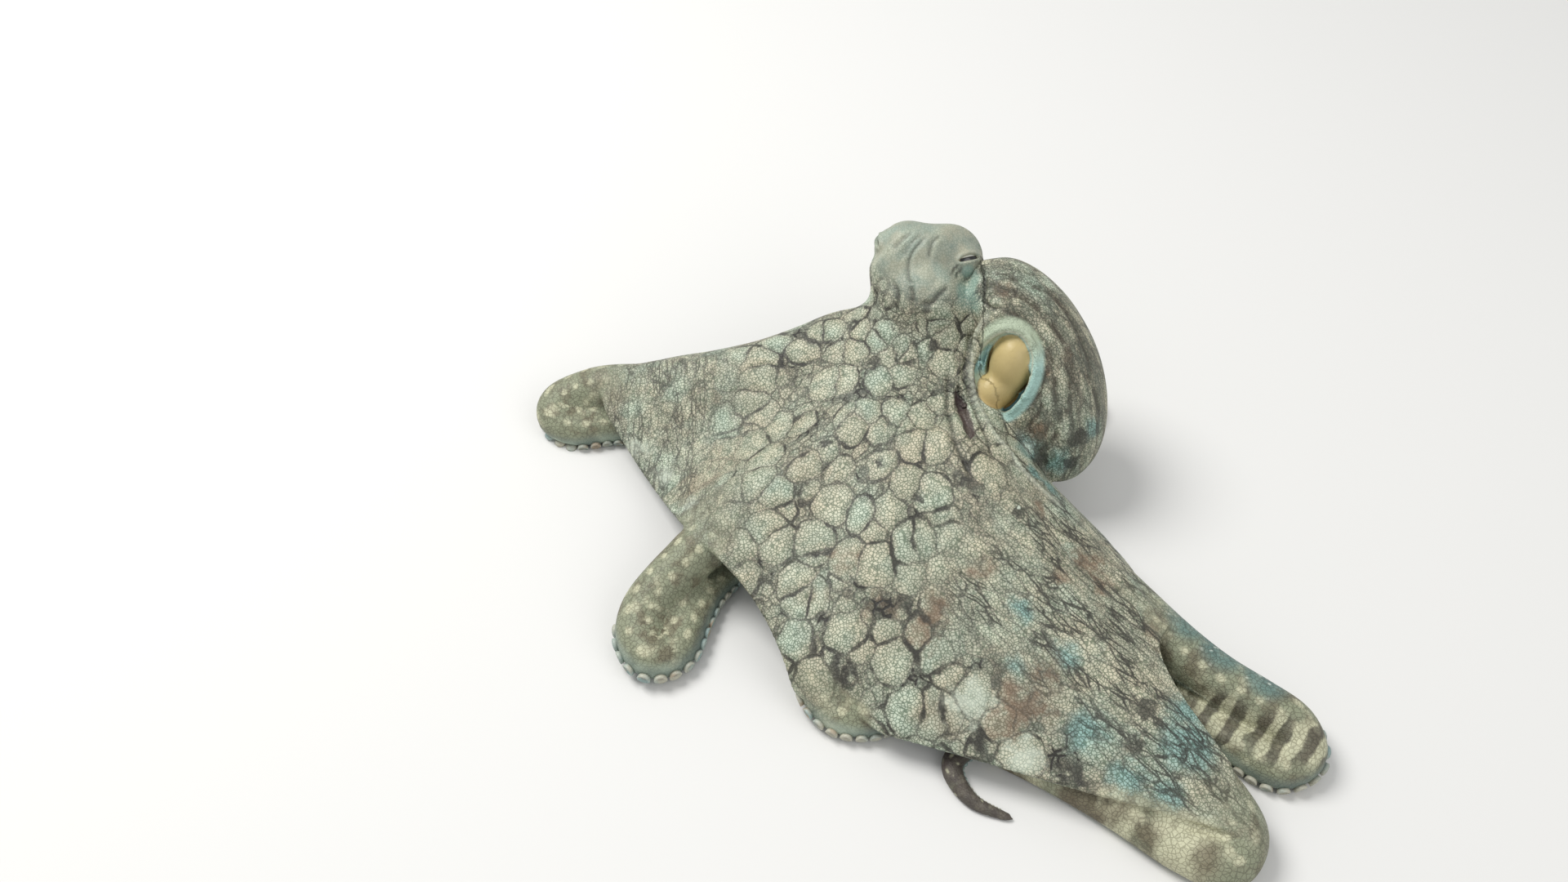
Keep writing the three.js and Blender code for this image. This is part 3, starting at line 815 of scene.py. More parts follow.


# How strongly a dark line of painted shade, or a band partly of painted shade, is drawn on points. least is
# what is left of it at its ends.
def drawnAlong(points, key, least=0.0):
    drawn = np.zeros(len(points))
    for kind, how in creases.items():
        if key in how:
            width, strength = how[key]
            for path in ontoSkin(folds[kind]):
                away, along = fromPath(points, path)
                line = strength * np.exp(-((away / width) ** 2)) * runsOut(along, 6, least)
                drawn = np.maximum(drawn, line)
    return drawn


# The space in which the skin's patterns are laid out, part by part.
flows = dict(
    hub=(68, -5, 84),  # the body's is laid out from here
    even=45,  # as far as this, and is drawn out a little beyond
    outer=0.7,
    eachArm=(0, 61.0, 37.0),  # how far apart the arms' are, so that no two arms look alike
    mantle=(0, 0, 200),  # how far the mantle's is from the body's
    roundMantle=1.35,  # how much finer the mantle's is across its length
    downMantle=1 / 1.5,
    stripes=(0.22, 0.22, 0.025),  # long fine lines down the mantle
)
# Two stretches of web are crumpled into narrow cells: the front right one down its length, and the left one
# across its arm.
crumples = dict(
    between=20,  # left of here is the left one's
    front=dict(way=(0.7, -0.71), fineness=(2.5, 0.7, 1), down=(60, 105), across=(-104, -74)),
    left=dict(fineness=(2.6, 0.8, 0.8), leftwards=(0, 55), share=0.82),
)

# Over which two values each part of the skin sets in or fades out.
fades = dict(
    mantle=(1.5, 4),  # millimetres outside the mantle
    mantleFrom=(96, 99),  # to the right
    head=(1.05, 1.3),  # in the radii of its masses
    headFrom=(98, 114),  # upwards
    lobe=(1.04, 1.1),  # in the radii of the funnel's lobes
    pit=(0.98, 1.03),  # in the opening's radii, as is the collar round it
    collar=(0.99, 1.04),
    collarEnd=(1.3, 1.42),
    below=(0.1, 0.5),  # how far the skin faces down
    belowEnd=(55, 70),  # upwards
    suckerSide=(0.2, 0.85),  # how far the skin faces an arm's sucker side
)

points = readPoints(skin)
normals = readNormals(skin)

rows, mantleLength = curveThrough(mantle["rows"], 120)
mantleRow, fromMiddle = nearestOf(rows[:, :3], points)
onMantle = 1 - smoothStep(fromMiddle - rows[mantleRow, 3], *fades["mantle"])
onMantle *= smoothStep(points[:, 0], *fades["mantleFrom"])
onHead = 1 - smoothStep(ballShare(points, head["masses"]), *fades["head"])
onHead *= smoothStep(points[:, 2], *fades["headFrom"]) * (1 - onMantle)
onLobe = 1 - smoothStep(ballShare(points, funnel), *fades["lobe"])
openingShare = ballShare(points, [mantle["opening"]])
collar = smoothStep(openingShare, *fades["collar"]) * (1 - smoothStep(openingShare, *fades["collarEnd"]))
place = onArms(points)

# An arm's free end is its own colour, and so, more faintly, is the last of its way along the web.
past = place["share"] - place["webbed"]
awayFromArm = np.hypot(place["sideways"], place["upward"])
free = np.maximum(smoothStep(past, -0.012, 0.012) * (1 - smoothStep(awayFromArm, 1.25, 1.5)),
                  0.75 * smoothStep(past, -0.1, 0.02) * (1 - smoothStep(awayFromArm, 1.35, 1.6)))
# Skin that faces down is given a darker underside colour: painted shade.
below = smoothStep(-normals[:, 2], *fades["below"]) * (1 - onMantle)
below *= 1 - smoothStep(points[:, 2], *fades["belowEnd"])
facing = place["sideways"] * np.sin(place["lean"]) - place["upward"] * np.cos(place["lean"])
suckerSide = smoothStep(facing / np.maximum(awayFromArm, 0.2), *fades["suckerSide"]) * free

radial = points - flows["hub"]
reach = np.linalg.norm(radial, axis=1)
drawn = np.minimum(reach, flows["even"]) + np.maximum(reach - flows["even"], 0) * flows["outer"]
bodyFlow = radial / np.maximum(reach, 1e-6)[:, None] * drawn[:, None]
armFlow = np.stack([place["run"], place["sideways"] * place["radius"], place["upward"] * place["radius"]], 1)
armFlow += place["which"][:, None] * np.array(flows["eachArm"])
mantleFlow = (points - rows[mantleRow, :3]) * flows["roundMantle"]
mantleFlow[:, 2] += mantleRow / (len(rows) - 1) * mantleLength * flows["downMantle"]

front, left = crumples["front"], crumples["left"]
way = unit(np.array(front["way"]))
down = radial[:, :2] @ way
across = radial[:, :2] @ np.array([-way[1], way[0]])
frontFlow = np.stack([across, down, points[:, 2]], 1) * front["fineness"]
leftFlow = points * left["fineness"]
streaky = np.maximum(smoothStep(down, *front["down"]) * smoothStep(across, *front["across"]),
                     left["share"] * smoothStep(-points[:, 0], *left["leftwards"])) * (1 - onMantle)

onOpening = onMantle * (1 - onLobe)
values = dict(
    spot=points,
    flow=np.where(onMantle[:, None] > 0.5, mantleFlow + flows["mantle"], bodyFlow),
    armFlow=armFlow,
    streakFlow=np.where(points[:, :1] > crumples["between"], frontFlow, leftFlow),
    stripes=mantleFlow * flows["stripes"],
    streaky=streaky,
    onArm=free,
    onMantle=onMantle,
    onHead=onHead,
    lobe=onLobe,
    below=np.maximum(below * (1 - free), suckerSide),
    rimOfMouth=np.exp(-(((openingShare - 1.02) / 0.03) ** 2)) * onOpening,
    collar=collar * onOpening,
    hollow=(1 - smoothStep(openingShare, *fades["pit"])) * (1 - onLobe),
    # painted shade in the long hollow beside the mantle's opening
    hollowMark=hollowShape(points),
    lip=ridgeShape(points)[0],
    # painted shade in the creases' grooves
    foldLine=drawnAlong(points, "dark"),
    # brown bands along the mantle's folds, partly painted shade
    bandLine=drawnAlong(points, "band", least=1.0),
    spotRows=armSpots(place),
)
values.update({kind: nearPlaces(points, places) for kind, places in marks.items()})
for name, value in values.items():
    writeValues(skin, name, value)
print("skin values written")


# Colours are written as 0 to 255 values of an ordinary picture.
def tone(*channels):
    return tuple(((c / 255 + 0.055) / 1.055) ** 2.4 if c > 10 else c / 255 / 12.92 for c in channels)


# A socket of a shader graph, with sums written as in Python.
class Value:
    def __init__(self, graph, socket):
        self.graph, self.socket = graph, socket

    def __add__(self, other):
        return self.graph.math("ADD", self, other)

    def __radd__(self, other):
        return self.graph.math("ADD", other, self)

    def __sub__(self, other):
        return self.graph.math("SUBTRACT", self, other)

    def __rsub__(self, other):
        return self.graph.math("SUBTRACT", other, self)

    def __mul__(self, other):
        return self.graph.math("MULTIPLY", self, other)

    def __rmul__(self, other):
        return self.graph.math("MULTIPLY", other, self)

    def __truediv__(self, other):
        return self.graph.math("DIVIDE", self, other)


class Graph:
    def __init__(self, name):
        self.material = bpy.data.materials.new(name)
        self.material.use_nodes = True
        self.nodes = self.material.node_tree.nodes
        self.links = self.material.node_tree.links
        self.shader = self.nodes["Principled BSDF"]

    # One node: its type, its settings, then what goes in its sockets by name or number.
    def node(self, kind, settings, sockets, output=0):
        made = self.nodes.new(kind)
        for key, value in settings.items():
            setattr(made, key, value)
        for key, value in sockets.items():
            self.feed(made.inputs[key], value)
        return Value(self, made.outputs[output])

    def feed(self, socket, value):
        if isinstance(value, Value):
            self.links.new(value.socket, socket)
        elif isinstance(value, tuple) and len(value) == 3 and socket.type == "RGBA":
            socket.default_value = (*value, 1)
        else:
            socket.default_value = value

    def math(self, operation, first, second=0.0):
        return self.node("ShaderNodeMath", dict(operation=operation), {0: first, 1: second})

    # Vector maths, whose output 1 is the one that is a number.
    def vector(self, operation, first, second=(0.0, 0.0, 0.0), output=0):
        return self.node("ShaderNodeVectorMath", dict(operation=operation), {0: first, 1: second}, output)

    def top(self, first, second):
        return self.math("MAXIMUM", first, second)

    def low(self, first, second):
        return self.math("MINIMUM", first, second)

    def step(self, value, low, high, start=0.0, end=1.0):
        return self.node("ShaderNodeMapRange", dict(interpolation_type="SMOOTHSTEP"),
                         {"Value": value, "From Min": low, "From Max": high, "To Min": start, "To Max": end})

    def blend(self, factor, first, second, mode="MIX"):
        return self.node("ShaderNodeMix", dict(data_type="RGBA", blend_type=mode),
                         {"Factor": factor, 6: first, 7: second}, 2)

    def shade(self, factor, first, second):
        return self.blend(factor, first, second, "MULTIPLY")

    def attribute(self, name, output="Fac"):
        return self.node("ShaderNodeAttribute", dict(attribute_name=name), {}, output)

    # One part of a vector: 0 to 2 for x, y and z.
    def axis(self, vector, number):
        return self.node("ShaderNodeSeparateXYZ", {}, {0: vector}, number)

    def scaled(self, vector, size):
        return self.node("ShaderNodeVectorMath", dict(operation="SCALE"), {0: vector, "Scale": 1 / size})

    def noise(self, vector, size, detail=2.0, rough=0.5, output=0):
        return self.node("ShaderNodeTexNoise", {}, {"Vector": self.scaled(vector, size), "Scale": 1.0,
                                                    "Detail": detail, "Roughness": rough}, output)

    def cells(self, vector, size, feature="DISTANCE_TO_EDGE", output="Distance"):
        return self.node("ShaderNodeTexVoronoi", dict(feature=feature),
                         {"Vector": self.scaled(vector, size), "Scale": 1.0, "Randomness": 1.0}, output)

    # A vector pushed about by a noise, by so many millimetres.
    def warped(self, vector, size, push):
        centred = self.vector("SUBTRACT", self.noise(vector, size, output="Color"), (0.5, 0.5, 0.5))
        pushed = self.node("ShaderNodeVectorMath", dict(operation="SCALE"), {0: centred, "Scale": 2 * push})
        return self.vector("ADD", vector, pushed)

    def finish(self, color, roughness, height=None, distance=1.0, **constants):
        for key, value in dict(Base_Color=color, Roughness=roughness, **constants).items():
            self.feed(self.shader.inputs[key.replace("_", " ")], value)
        if height is not None:
            bump = self.node("ShaderNodeBump", {},
                             {"Strength": 1.0, "Distance": distance * mm, "Height": height})
            self.feed(self.shader.inputs["Normal"], bump)
        return self.material


skinLook = dict(
    pale=tone(192, 208, 188),
    beige=tone(208, 196, 168),
    rosy=tone(156, 146, 126),
    mid=tone(114, 134, 118),
    dark=tone(42, 40, 33),
    red=tone(118, 90, 68),
    white=tone(206, 214, 196),
    # teal: the blue-green tint of painted shade
    teal=tone(130, 178, 174),
    cell=12.2,  # spacing of the pebbles
    pebble=0.66,  # their largest radius, in that spacing
    small=4.2,  # spacing of the small cells between them
    streak=14.0,  # spacing of the narrow cells where the web is crumpled, and of the threads among them
    thread=8.0,
    net=1.5,
)


# The patterns that the skin is drawn with: pebbles outlined in dark, smaller cells between them, narrow cells
# where it is crumpled, and a fine net over all.
def skinPatterns(g, look):
    flow, spot = g.attribute("flow", "Vector"), g.attribute("spot", "Vector")
    bent = g.warped(g.warped(flow, 14, 3.0), 4, 1.1)
    centre = g.cells(bent, look["cell"], "F1")
    swell = g.noise(flow, 13, 2)
    small = g.cells(g.warped(flow, 5, 1.1), look["small"])
    crumple = g.warped(g.warped(g.attribute("streakFlow", "Vector"), 13, 3.4), 4, 1.0)
    narrow = g.cells(crumple, look["streak"])
    thread = g.cells(crumple, look["thread"])
    inner = g.low(g.cells(bent, look["cell"]), look["pebble"] - 0.06 + 0.16 * swell - centre)
    strong = g.step(g.noise(flow, 10, 3, 0.6), 0.4, 0.64)
    wide = 0.026 + 0.042 * strong
    blot = g.step(g.noise(flow, 12, 3, 0.6), 0.5, 0.64)
    bundle = g.step(g.noise(g.attribute("streakFlow", "Vector"), 20, 3), 0.44, 0.56)
    gap = g.step(inner, 0.01, -0.04)
    smallLine = 1.0 - g.step(small, 0.03, 0.14)
    streaky = g.attribute("streaky")
    outline = 1.0 - g.step(g.math("ABSOLUTE", inner) / wide, 0.4, 1.4)
    even = g.top(outline * (0.5 + 0.45 * strong), gap * (0.75 * blot + 0.5 * smallLine))
    threads = g.top((1.0 - g.step(thread, 0.02, 0.14)) * (0.1 + 0.75 * bundle), 0.2 * bundle)
    crumpled = g.top((1.0 - g.step(narrow, 0.02, 0.1)) * (0.45 + 0.45 * bundle), threads)
    return dict(
        spot=spot, inner=inner, gap=gap, smallLine=smallLine, narrow=narrow, streaky=streaky,
        lines=g.top(even * (1.0 - 0.8 * streaky), crumpled * streaky),
        net=1.0 - g.step(g.cells(g.warped(spot, 3, 0.35), look["net"]), 0.03, 0.16),
        tint=g.cells(bent, look["cell"], "F1", "Color"),  # one for each pebble
        smallTint=g.cells(g.warped(flow, 5, 1.1), look["small"], "F1", "Color"),
        cloud=g.noise(spot, 26, 3),
        ragged=g.noise(spot, 8, 4, 0.65) - 0.5,
        frayed=g.noise(spot, 4, 4, 0.7) - 0.5,
        grain=g.noise(spot, 1.1, 3, 0.6),
        mantle=g.attribute("onMantle"),
        head=g.attribute("onHead"),
        arm=g.attribute("onArm"),
        lobe=g.attribute("lobe"),
    )


def webColor(g, v, look):
    color = g.blend(g.step(v["cloud"], 0.35, 0.65, 0.15, 0.75), look["pale"], look["beige"])
    color = g.blend(g.step(v["tint"], 0.25, 0.8, 0.0, 0.45), color, look["beige"])
    rosy = g.step(v["inner"], 0.26, 0.03, 0.0, 0.45) * (1.0 - 0.6 * v["streaky"])
    color = g.blend(rosy, color, look["rosy"])
    color = g.blend(g.step(v["smallTint"], 0.35, 0.8, 0.0, 0.3), color, look["mid"])
    # Painted shade, tinted blue-green, along the front web's right margin and under the mantle's end.
    teal = g.step(g.attribute("tealMark") + 1.2 * v["ragged"], 0.15, 0.9, 0.0, 0.7)
    color = g.blend(teal, color, look["teal"])
    color = g.shade(0.8 * v["net"], color, look["mid"])
    patches = g.step(g.noise(v["spot"], 34, 3), 0.6, 0.75, 0.0, 0.3)
    rust = g.top(g.step(g.attribute("redMark") + 2.0 * v["ragged"], 0.2, 1.0, 0.0, 0.75), patches)
    rust = rust * (1.0 - 0.45 * g.step(v["inner"], 0.05, 0.25)) * (1.0 - v["head"])
    color = g.blend(rust, color, look["red"])
    chalk = g.step(g.attribute("whiteMark") - 2.2 * v["ragged"], 0.3, 1.1, 0.0, 0.6)
    color = g.blend(chalk, color, look["white"])
    dark = v["lines"] * (1.0 - 0.5 * chalk) * (1.0 - 0.4 * v["mantle"])
    dark = g.top(dark, g.step(g.attribute("darkMark") + 1.7 * v["frayed"], 0.4, 0.85) * 0.85)
    color = g.blend(dark * (1.0 - 0.85 * v["head"]), color, look["dark"])
    return g.blend(g.step(g.attribute("knotMark"), 0.45, 0.7), color, look["white"])


armLook = dict(
    olive=tone(142, 146, 120),
    brown=tone(108, 98, 76),
    bar=tone(88, 82, 68),
    cream=tone(206, 204, 172),
    # flank: the darker colour of painted shade on the underside
    flank=tone(98, 116, 112),
    tip=tone(62, 50, 50),
    teal=tone(94, 126, 122),
    fleck=tone(200, 214, 204),
    barWay=(0.75, -0.66, 0.0),  # the way from bar to bar, and how far it is
    barPitch=10.5,
)


# Arms are olive with soft cream spots. Some stretches are barred, and one is teal with pale flecks.
def armColor(g, v, look):
    flow, spot = g.attribute("armFlow", "Vector"), v["spot"]
    color = g.blend(g.step(g.noise(flow, 9, 2), 0.44, 0.66, 0.0, 0.7), look["olive"], look["brown"])
    spots = 1.0 - g.step(g.cells(g.warped(flow, 6, 1.2), 9.0, "F1"), 0.16, 0.46)
    rows = g.step(g.attribute("spotRows") + 0.7 * v["ragged"], 0.3, 0.8, 0.0, 0.8)
    loose = spots * g.step(g.noise(flow, 12, 2), 0.4, 0.55, 0.1, 0.6)
    color = g.blend(g.top(rows, loose), color, look["cream"])
    along = g.vector("DOT_PRODUCT", g.warped(spot, 12, 3.5), look["barWay"], output=1)
    wave = g.math("SINE", along * (2 * math.pi / look["barPitch"]))
    bars = g.blend(g.step(wave, -0.4, 0.5), look["bar"], look["cream"])
    color = g.blend(g.step(g.attribute("barred"), 0.35, 0.7) * 0.75, color, bars)
    broad = g.noise(g.warped(g.vector("MULTIPLY", flow, (1.0, 0.35, 0.35)), 14, 4.0), 15, 2, 0.4)
    bands = g.blend(g.step(broad, 0.42, 0.56), look["brown"], look["cream"])
    color = g.blend(g.step(g.attribute("banded"), 0.35, 0.7) * 0.85, color, bands)
    flecks = g.step(g.cells(g.warped(flow, 5, 1.5), 4.6, "F1"), 0.3, 0.1)
    flecks = flecks * g.step(g.noise(flow, 9, 2), 0.45, 0.55)
    speckled = g.blend(flecks, look["teal"], look["fleck"])
    color = g.blend(g.step(g.attribute("tealArm"), 0.3, 0.8, 0.0, 0.8), color, speckled)
    fine = 1.0 - g.step(g.cells(g.warped(spot, 4, 0.6), 2.2), 0.02, 0.14)
    color = g.shade(0.45 * fine, color, look["brown"])
    tip = g.blend(flecks * 0.7, look["tip"], look["cream"])
    return g.blend(g.step(g.attribute("darkTip"), 0.4, 0.8) * 0.85, color, tip)


mantleLook = dict(
    stripe=tone(66, 58, 46),
    line=tone(78, 82, 70),
)


# Broken brown bands, partly painted shade, along some of the mantle's folds, and fine lines down it.
def mantleColor(g, v, color, look):
    broken = g.step(g.noise(v["spot"], 5, 3, 0.6), 0.36, 0.52)
    color = g.blend(g.attribute("bandLine") * broken * 0.8, color, look["stripe"])
    bands = g.step(g.noise(g.attribute("stripes", "Vector"), 1.0, 4, 0.6), 0.49, 0.58)
    return g.blend(v["mantle"] * bands * 0.52, color, look["line"])


mouthLook = dict(
    crescent=tone(166, 200, 190),
    skin=tone(180, 192, 166),
    # painted shade inside the opening, darker low down
    deep=tone(104, 152, 158),
    ochre=tone(192, 172, 118),
    ochreLow=tone(182, 152, 92),
    rim=tone(206, 210, 190),
    # the colour of painted shade in the long hollow
    hollow=tone(66, 50, 48),
)


# The mantle's opening: a pale collar, bluer low on its right, painted shade inside it, blue-green and darker
# low down, and an ochre funnel. The long hollow beside it is darkened with painted shade, with a pale ridge.
def mouthColor(g, v, color, look):
    right, up = g.axis(v["spot"], 0), g.axis(v["spot"], 2)
    beyond = g.step(right, 104, 112)
    collar = g.blend(g.step(up, 98, 84) * beyond, look["skin"], look["crescent"])
    color = g.blend(g.attribute("collar"), color, collar)
    # Painted shade inside the opening: blue-green, darker low down, on its right and round the middle of its
    # height.
    pocket = g.step(g.math("ABSOLUTE", up - 80.0), 9.0, 5.0)
    deep = g.blend(g.step(up, 62, 86), look["deep"], look["crescent"])
    color = g.blend(g.attribute("hollow"), color, g.blend(g.top(beyond, pocket), look["skin"], deep))
    color = g.blend(g.attribute("rimOfMouth") * 0.8, color, look["rim"])
    color = g.blend(v["lobe"], color, g.blend(g.step(up, 60, 74), look["ochreLow"], look["ochre"]))
    color = g.blend(g.attribute("lip") * 0.45, color, look["rim"])
    # Painted shade in the long hollow.
    return g.blend(g.step(g.attribute("hollowMark"), 0.25, 0.7) * 0.9, color, look["hollow"])


headLook = dict(
    smooth=tone(138, 152, 140),
    warm=tone(164, 164, 144),
    cone=tone(116, 158, 150),
)


def skinPaint():
    g = Graph("skin")
    v = skinPatterns(g, skinLook)
    color = mantleColor(g, v, webColor(g, v, skinLook), mantleLook)
    color = g.blend(v["arm"], color, armColor(g, v, armLook))
    # A darker grey-blue underside colour: painted shade on skin that faces down and on the free arms' sucker
    # sides.
    undersideShade = g.blend(g.step(v["cloud"], 0.4, 0.7), armLook["flank"], skinLook["pale"])
    color = g.blend(g.attribute("below") * 0.8, color, undersideShade)
    face = g.blend(g.step(g.noise(v["spot"], 11, 3), 0.35, 0.7), headLook["smooth"], headLook["warm"])
    color = g.blend(v["head"] * 0.72, color, face)
    color = g.blend(g.step(g.attribute("coneMark"), 0.2, 0.9) * 0.45, color, headLook["cone"])
    color = mouthColor(g, v, color, mouthLook)
    # Dark lines along the creases: painted shade in their grooves.
    color = g.blend(g.attribute("foldLine") * 0.85, color, skinLook["dark"])

    pebbles = 0.8 * g.step(v["inner"], 0.0, 0.3) + 0.22 * (1.0 - v["smallLine"]) * v["gap"]
    height = pebbles * (1.0 - v["streaky"]) + 0.6 * g.step(v["narrow"], 0.0, 0.3) * v["streaky"]
    plain = g.top(v["head"], v["lobe"])
    height = (height * (1.0 - v["arm"]) - 0.12 * v["net"]) * (1.0 - 0.85 * plain) + 0.08 * v["grain"]
    return g.finish(color, 0.48 + 0.14 * v["grain"] - 0.1 * v["lobe"], height, 1.0)


skin.data.materials.clear()
skin.data.materials.append(skinPaint())
print("skin painted")
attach(skin, "root")
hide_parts(*[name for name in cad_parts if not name.startswith("eye")])


# An eyeball: a sphere drawn out a little at its pole into a cornea, turned to look through its lids.
eyeShape = dict(
    radius=10.2,
    cornea=0.7,  # how far the pole is drawn out
    steps=(0.72, 0.82, 0.9),  # from which heights up, on a radius of 1
    pupil=(4.6, 1.0),  # half length and half height of the dark bar
    iris=6.6,
    gold=tone(170, 150, 96),
    amber=tone(96, 76, 44),
    white=tone(214, 216, 206),
    black=tone(12, 12, 14),
)


def eyeball(name):
    bpy.ops.mesh.primitive_uv_sphere_add(segments=64, ring_count=40, radius=1)
    obj = bpy.context.object
    obj.name = name.replace("_", "Ball_")
    bpy.ops.object.mode_set(mode="EDIT")
    bpy.ops.mesh.select_mode(type="VERT")
    for height in eyeShape["steps"]:
        bpy.ops.mesh.select_all(action="DESELECT")
        bpy.ops.object.mode_set(mode="OBJECT")
        for vertex in obj.data.vertices:
            vertex.select = vertex.co.z > height
        bpy.ops.object.mode_set(mode="EDIT")
        lift = eyeShape["cornea"] / eyeShape["radius"] / len(eyeShape["steps"])
        bpy.ops.transform.translate(value=(0, 0, lift))
    bpy.ops.object.mode_set(mode="OBJECT")
    local = np.array([vertex.co[:] for vertex in obj.data.vertices]) * eyeShape["radius"]
    writePoints(obj, local @ np.array(eyeFrame(name)) + np.array(eyes[name]))
    writeValues(obj, "look", local)
    bpy.ops.object.shade_smooth()
    obj.data.materials.append(eyeMaterial(name, eyeShape))
    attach(obj, "root")
    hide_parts(name)


def eyeMaterial(name, look):
    g = Graph(name + "_look")
    place = g.attribute("look", "Vector")
    across, level = g.axis(place, 0), g.axis(place, 1)
    away = g.vector("LENGTH", g.vector("MULTIPLY", place, (1.0, 1.0, 0.0)), output=1)
    bar = g.top(g.math("ABSOLUTE", across) / look["pupil"][0], g.math("ABSOLUTE", level) / look["pupil"][1])
    fleck = g.noise(place, 0.8, 4, 0.7)
    color = g.blend(g.step(fleck, 0.35, 0.7), look["gold"], look["amber"])
    color = g.blend(g.step(away, look["iris"] - 0.6, look["iris"] + 0.4), color, look["white"])
    glint = g.step(level, 1.0, 1.25) * g.step(level, 2.2, 1.7) * g.step(g.math("ABSOLUTE", across), 4.6, 3.2)
    color = g.blend(glint, color, look["white"])
    color = g.blend(g.step(bar, 1.12, 0.95), color, look["black"])
    return g.finish(color, 0.1 + 0.05 * fleck, fleck, 0.05, Coat_Weight=0.6, Coat_Roughness=0.05)


for name in eyes:
    eyeball(name)
print("eyes made")

# Suckers stand in two rows along each arm.
suckerShape = dict(
    sides=14,
    rings=[(0.2, 0.1), (0.2, -0.34), (0.26, -0.16)],  # how far each is set in and lifted, on a radius of 1
    cup=0.62,  # radius of the dark cup, in sucker radii
    size=0.3,  # radius, in arm radii
    least=0.45,  # smallest radius
    apart=0.37,  # of each row from the middle, in arm radii
    step=2.15,  # between suckers of a row, in their radii
    tall=0.6,  # height without the lip, in their radii
    raised=0.175,  # how far over the flesh their middle is, in their radii
    first=0.1,  # where the rows start and end, as shares of the arm's length
    last=0.985,
    floor=0.05,  # on the floor they are pressed flat, and end this little above it
    flesh=tone(186, 184, 166),
    pink=tone(176, 162, 140),
    inside=tone(116, 104, 92),
    blue=tone(150, 172, 168),
)


# A sucker of radius 1 and height 1, standing up: a waisted cylinder with a cup in its wider end.
def suckerModel():
    bpy.ops.mesh.primitive_cylinder_add(vertices=suckerShape["sides"], radius=0.86, depth=1)
    obj = bpy.context.object
    bpy.ops.object.mode_set(mode="EDIT")
    bpy.ops.mesh.select_mode(type="FACE")
    bpy.ops.mesh.select_all(action="DESELECT")
    bpy.ops.object.mode_set(mode="OBJECT")
    for face in obj.data.polygons:
        face.select = face.normal.z > 0.9
    bpy.ops.object.mode_set(mode="EDIT")
    bpy.ops.transform.resize(value=(1.16, 1.16, 1))
    for inwards, lift in suckerShape["rings"]:
        bpy.ops.mesh.inset(thickness=inwards)
        bpy.ops.transform.translate(value=(0, 0, lift))
    bpy.ops.object.mode_set(mode="OBJECT")
    bpy.ops.object.shade_smooth()
    return obj


# Each row's suckers in turn, as many as fit: place, way along the arm, way up and radius.
def suckerPlaces(name):
    arm = arms[name]
    for row in (-1, 1):
        run = suckerShape["first"] * arm["length"] + (row + 1) * suckerShape["size"] * arm["thick"] / 2
        last = None
        while run < suckerShape["last"] * arm["length"]:
            place, forward, up, size = suckerAt(name, run / arm["length"], row)
            away = 1e9 if last is None else np.linalg.norm(place - last)
            if away >= size * suckerShape["step"]:
                yield place, forward, up, size
                last = place
            run += size / 8


# One sucker stands on the arm's round flesh or on its flat side, whichever comes first.
def suckerAt(name, share, row):
    centre, side, top, forward, radius, lean = armAt(name, share, "centre", "side", "top", "forward",
                                                     "radius", "lean")
    size = max(suckerShape["size"] * radius, suckerShape["least"])
    out = math.sin(lean) * side - math.cos(lean) * top
    across = math.cos(lean) * side + math.sin(lean) * top
    base = across * row * suckerShape["apart"] * radius
    toRound = radius * math.sqrt(1 - suckerShape["apart"] ** 2)
    flat = (armShape["flat"] - armShape["suckerDepth"]) * radius
    toFlat = (flat + base @ top) / max(-out @ top, 1e-3)
    lift = min(toRound, toFlat)
    up = unit(base + out * lift) if toRound < toFlat else -top
    return centre + base + out * lift, unit(forward), up, size


def suckerRows(name, armNames):
    model = suckerModel()
    corners = np.array([vertex.co[:] for vertex in model.data.vertices])
    inCup = 1 - np.hypot(corners[:, 0], corners[:, 1]) / suckerShape["cup"]
    inCup = np.clip(inCup, 0, 1) * (corners[:, 2] > 0)
    copies = []
    for armName in armNames:
        for place, forward, up, size in suckerPlaces(armName):
            forward = unit(forward - up * (forward @ up))
            turned = np.column_stack([forward, np.cross(up, forward), up * suckerShape["tall"]])
            matrix = Matrix((turned * size * mm).tolist()).to_4x4()
            matrix.translation = Vector((place + up * size * suckerShape["raised"] + planShift) * mm)
            mesh = model.data.copy()
            mesh.transform(matrix)
            obj = bpy.data.objects.new("sucker", mesh)
            bpy.context.scene.collection.objects.link(obj)
            writeValues(obj, "cup", inCup)
            copies.append(obj)
    bpy.data.objects.remove(model)
    rows = joinAll(copies, name)
    places = readPoints(rows)
    places[:, 2] = np.maximum(places[:, 2], suckerShape["floor"])
    writePoints(rows, places)
    rows.data.materials.append(suckerMaterial(name, suckerShape))
    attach(rows, "root")
    print(name, len(copies), "suckers")


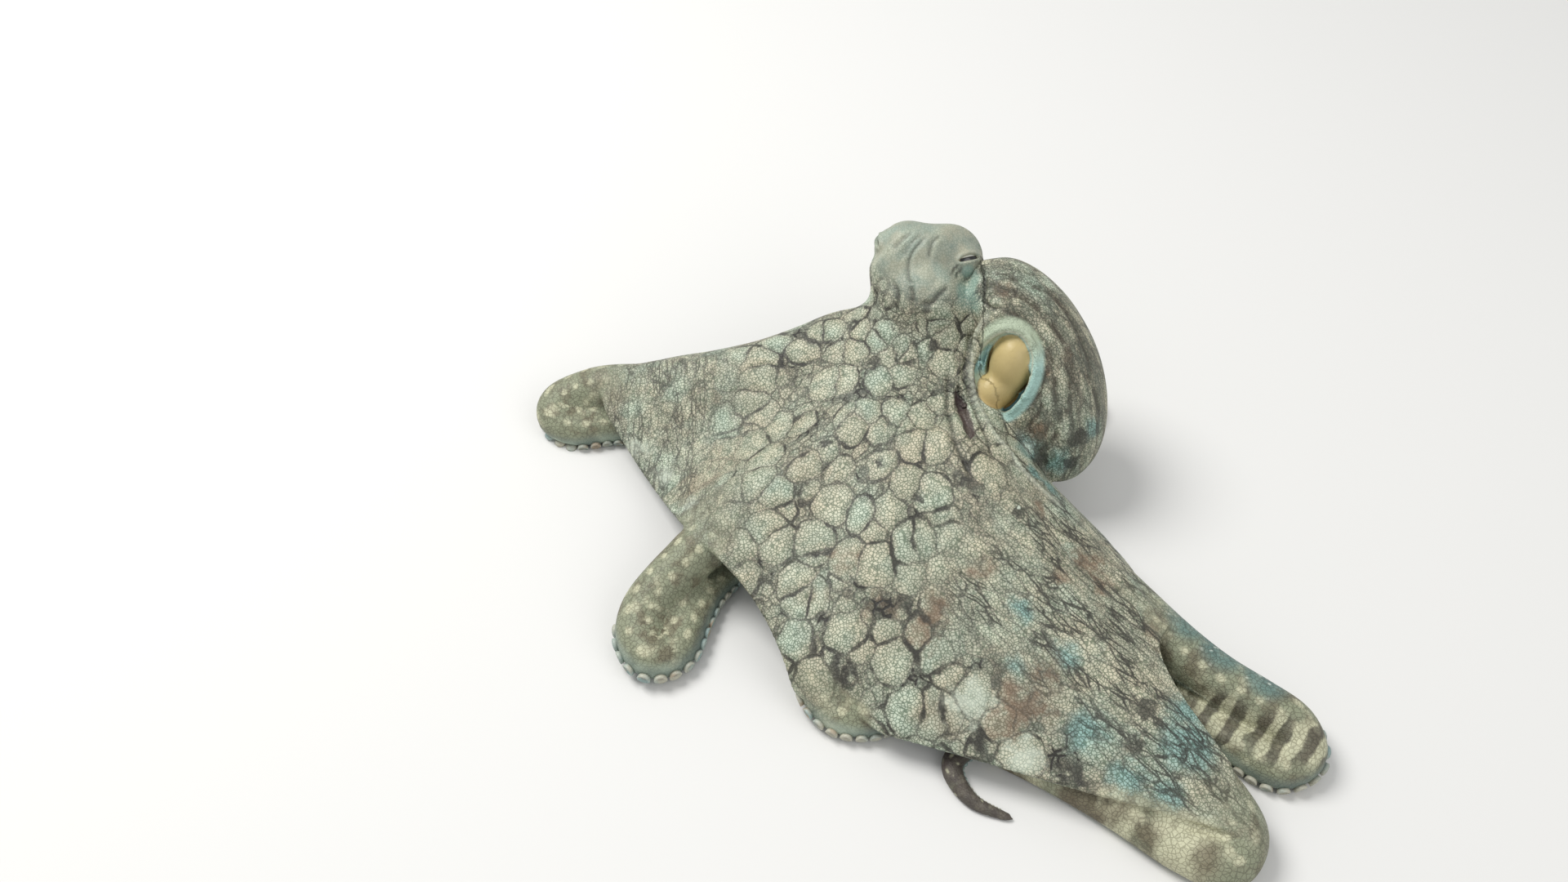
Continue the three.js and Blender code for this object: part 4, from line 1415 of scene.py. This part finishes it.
def suckerMaterial(name, look):
    g = Graph(name + "_look")
    place = g.node("ShaderNodeTexCoord", {}, {}, "Object")
    spot = g.scaled(place, mm)
    patch = g.noise(spot, 24, 2)
    fleck = g.noise(spot, 0.7, 3, 0.6)
    color = g.blend(g.step(patch, 0.4, 0.62), look["flesh"], look["blue"])
    color = g.blend(g.step(g.noise(spot, 9, 2), 0.55, 0.7), color, look["pink"])
    color = g.blend(g.step(g.attribute("cup"), 0.1, 0.7) * 0.75, color, look["inside"])
    color = g.shade(g.step(fleck, 0.45, 0.7) * 0.3, color, look["pink"])
    return g.finish(color, 0.42 + 0.1 * fleck, fleck, 0.08)


suckerRows("suckers_left", ["left_1", "left_2", "left_3", "left_4"])
suckerRows("suckers_right", ["right_1", "right_2", "right_3", "right_4"])

# Stage, light and camera.
view = dict(
    height=550.0,  # of the camera
    pitch=50.0,  # how steeply it looks down, in degrees
    lens=30.0,
    floor=(0.75, 0.74, 0.71),
    sky=(0.95, 0.97, 1),
    skyPower=0.55,
    lamps={"key": ((-0.9, 0.5, 1.5), 0.9, 26), "fill": ((1.2, -1.0, 1.2), 1.6, 9)},  # place, size and power
)
bpy.ops.object.select_all(action="DESELECT")
bpy.ops.mesh.primitive_plane_add(size=30)
floor = bpy.context.object
floor.name = "floor"
floor.data.materials.append(Graph("floorPaint").finish(view["floor"], 0.9))

pitch = math.radians(view["pitch"])
cameraData = bpy.data.cameras.new("camera")
cameraData.lens = view["lens"]
camera = bpy.data.objects.new("camera", cameraData)
bpy.context.scene.collection.objects.link(camera)
spot = np.array([0, -view["height"] / math.tan(pitch), view["height"]]) + planShift
camera.location = Vector(spot * mm)
camera.rotation_euler = (math.pi / 2 - pitch, 0, 0)
bpy.context.scene.camera = camera

for name, (place, size, power) in view["lamps"].items():
    data = bpy.data.lights.new(name, "AREA")
    data.shape = "DISK"
    data.size = size
    data.energy = power
    lamp = bpy.data.objects.new(name, data)
    lamp.location = place
    lamp.rotation_euler = (-Vector(place)).to_track_quat("-Z", "Y").to_euler()
    bpy.context.scene.collection.objects.link(lamp)

world = bpy.data.worlds.new("world")
world.use_nodes = True
sky = world.node_tree.nodes["Background"]
sky.inputs["Color"].default_value = (*view["sky"], 1)
sky.inputs["Strength"].default_value = view["skyPower"]
bpy.context.scene.world = world
bpy.context.scene.view_settings.view_transform = "Standard"
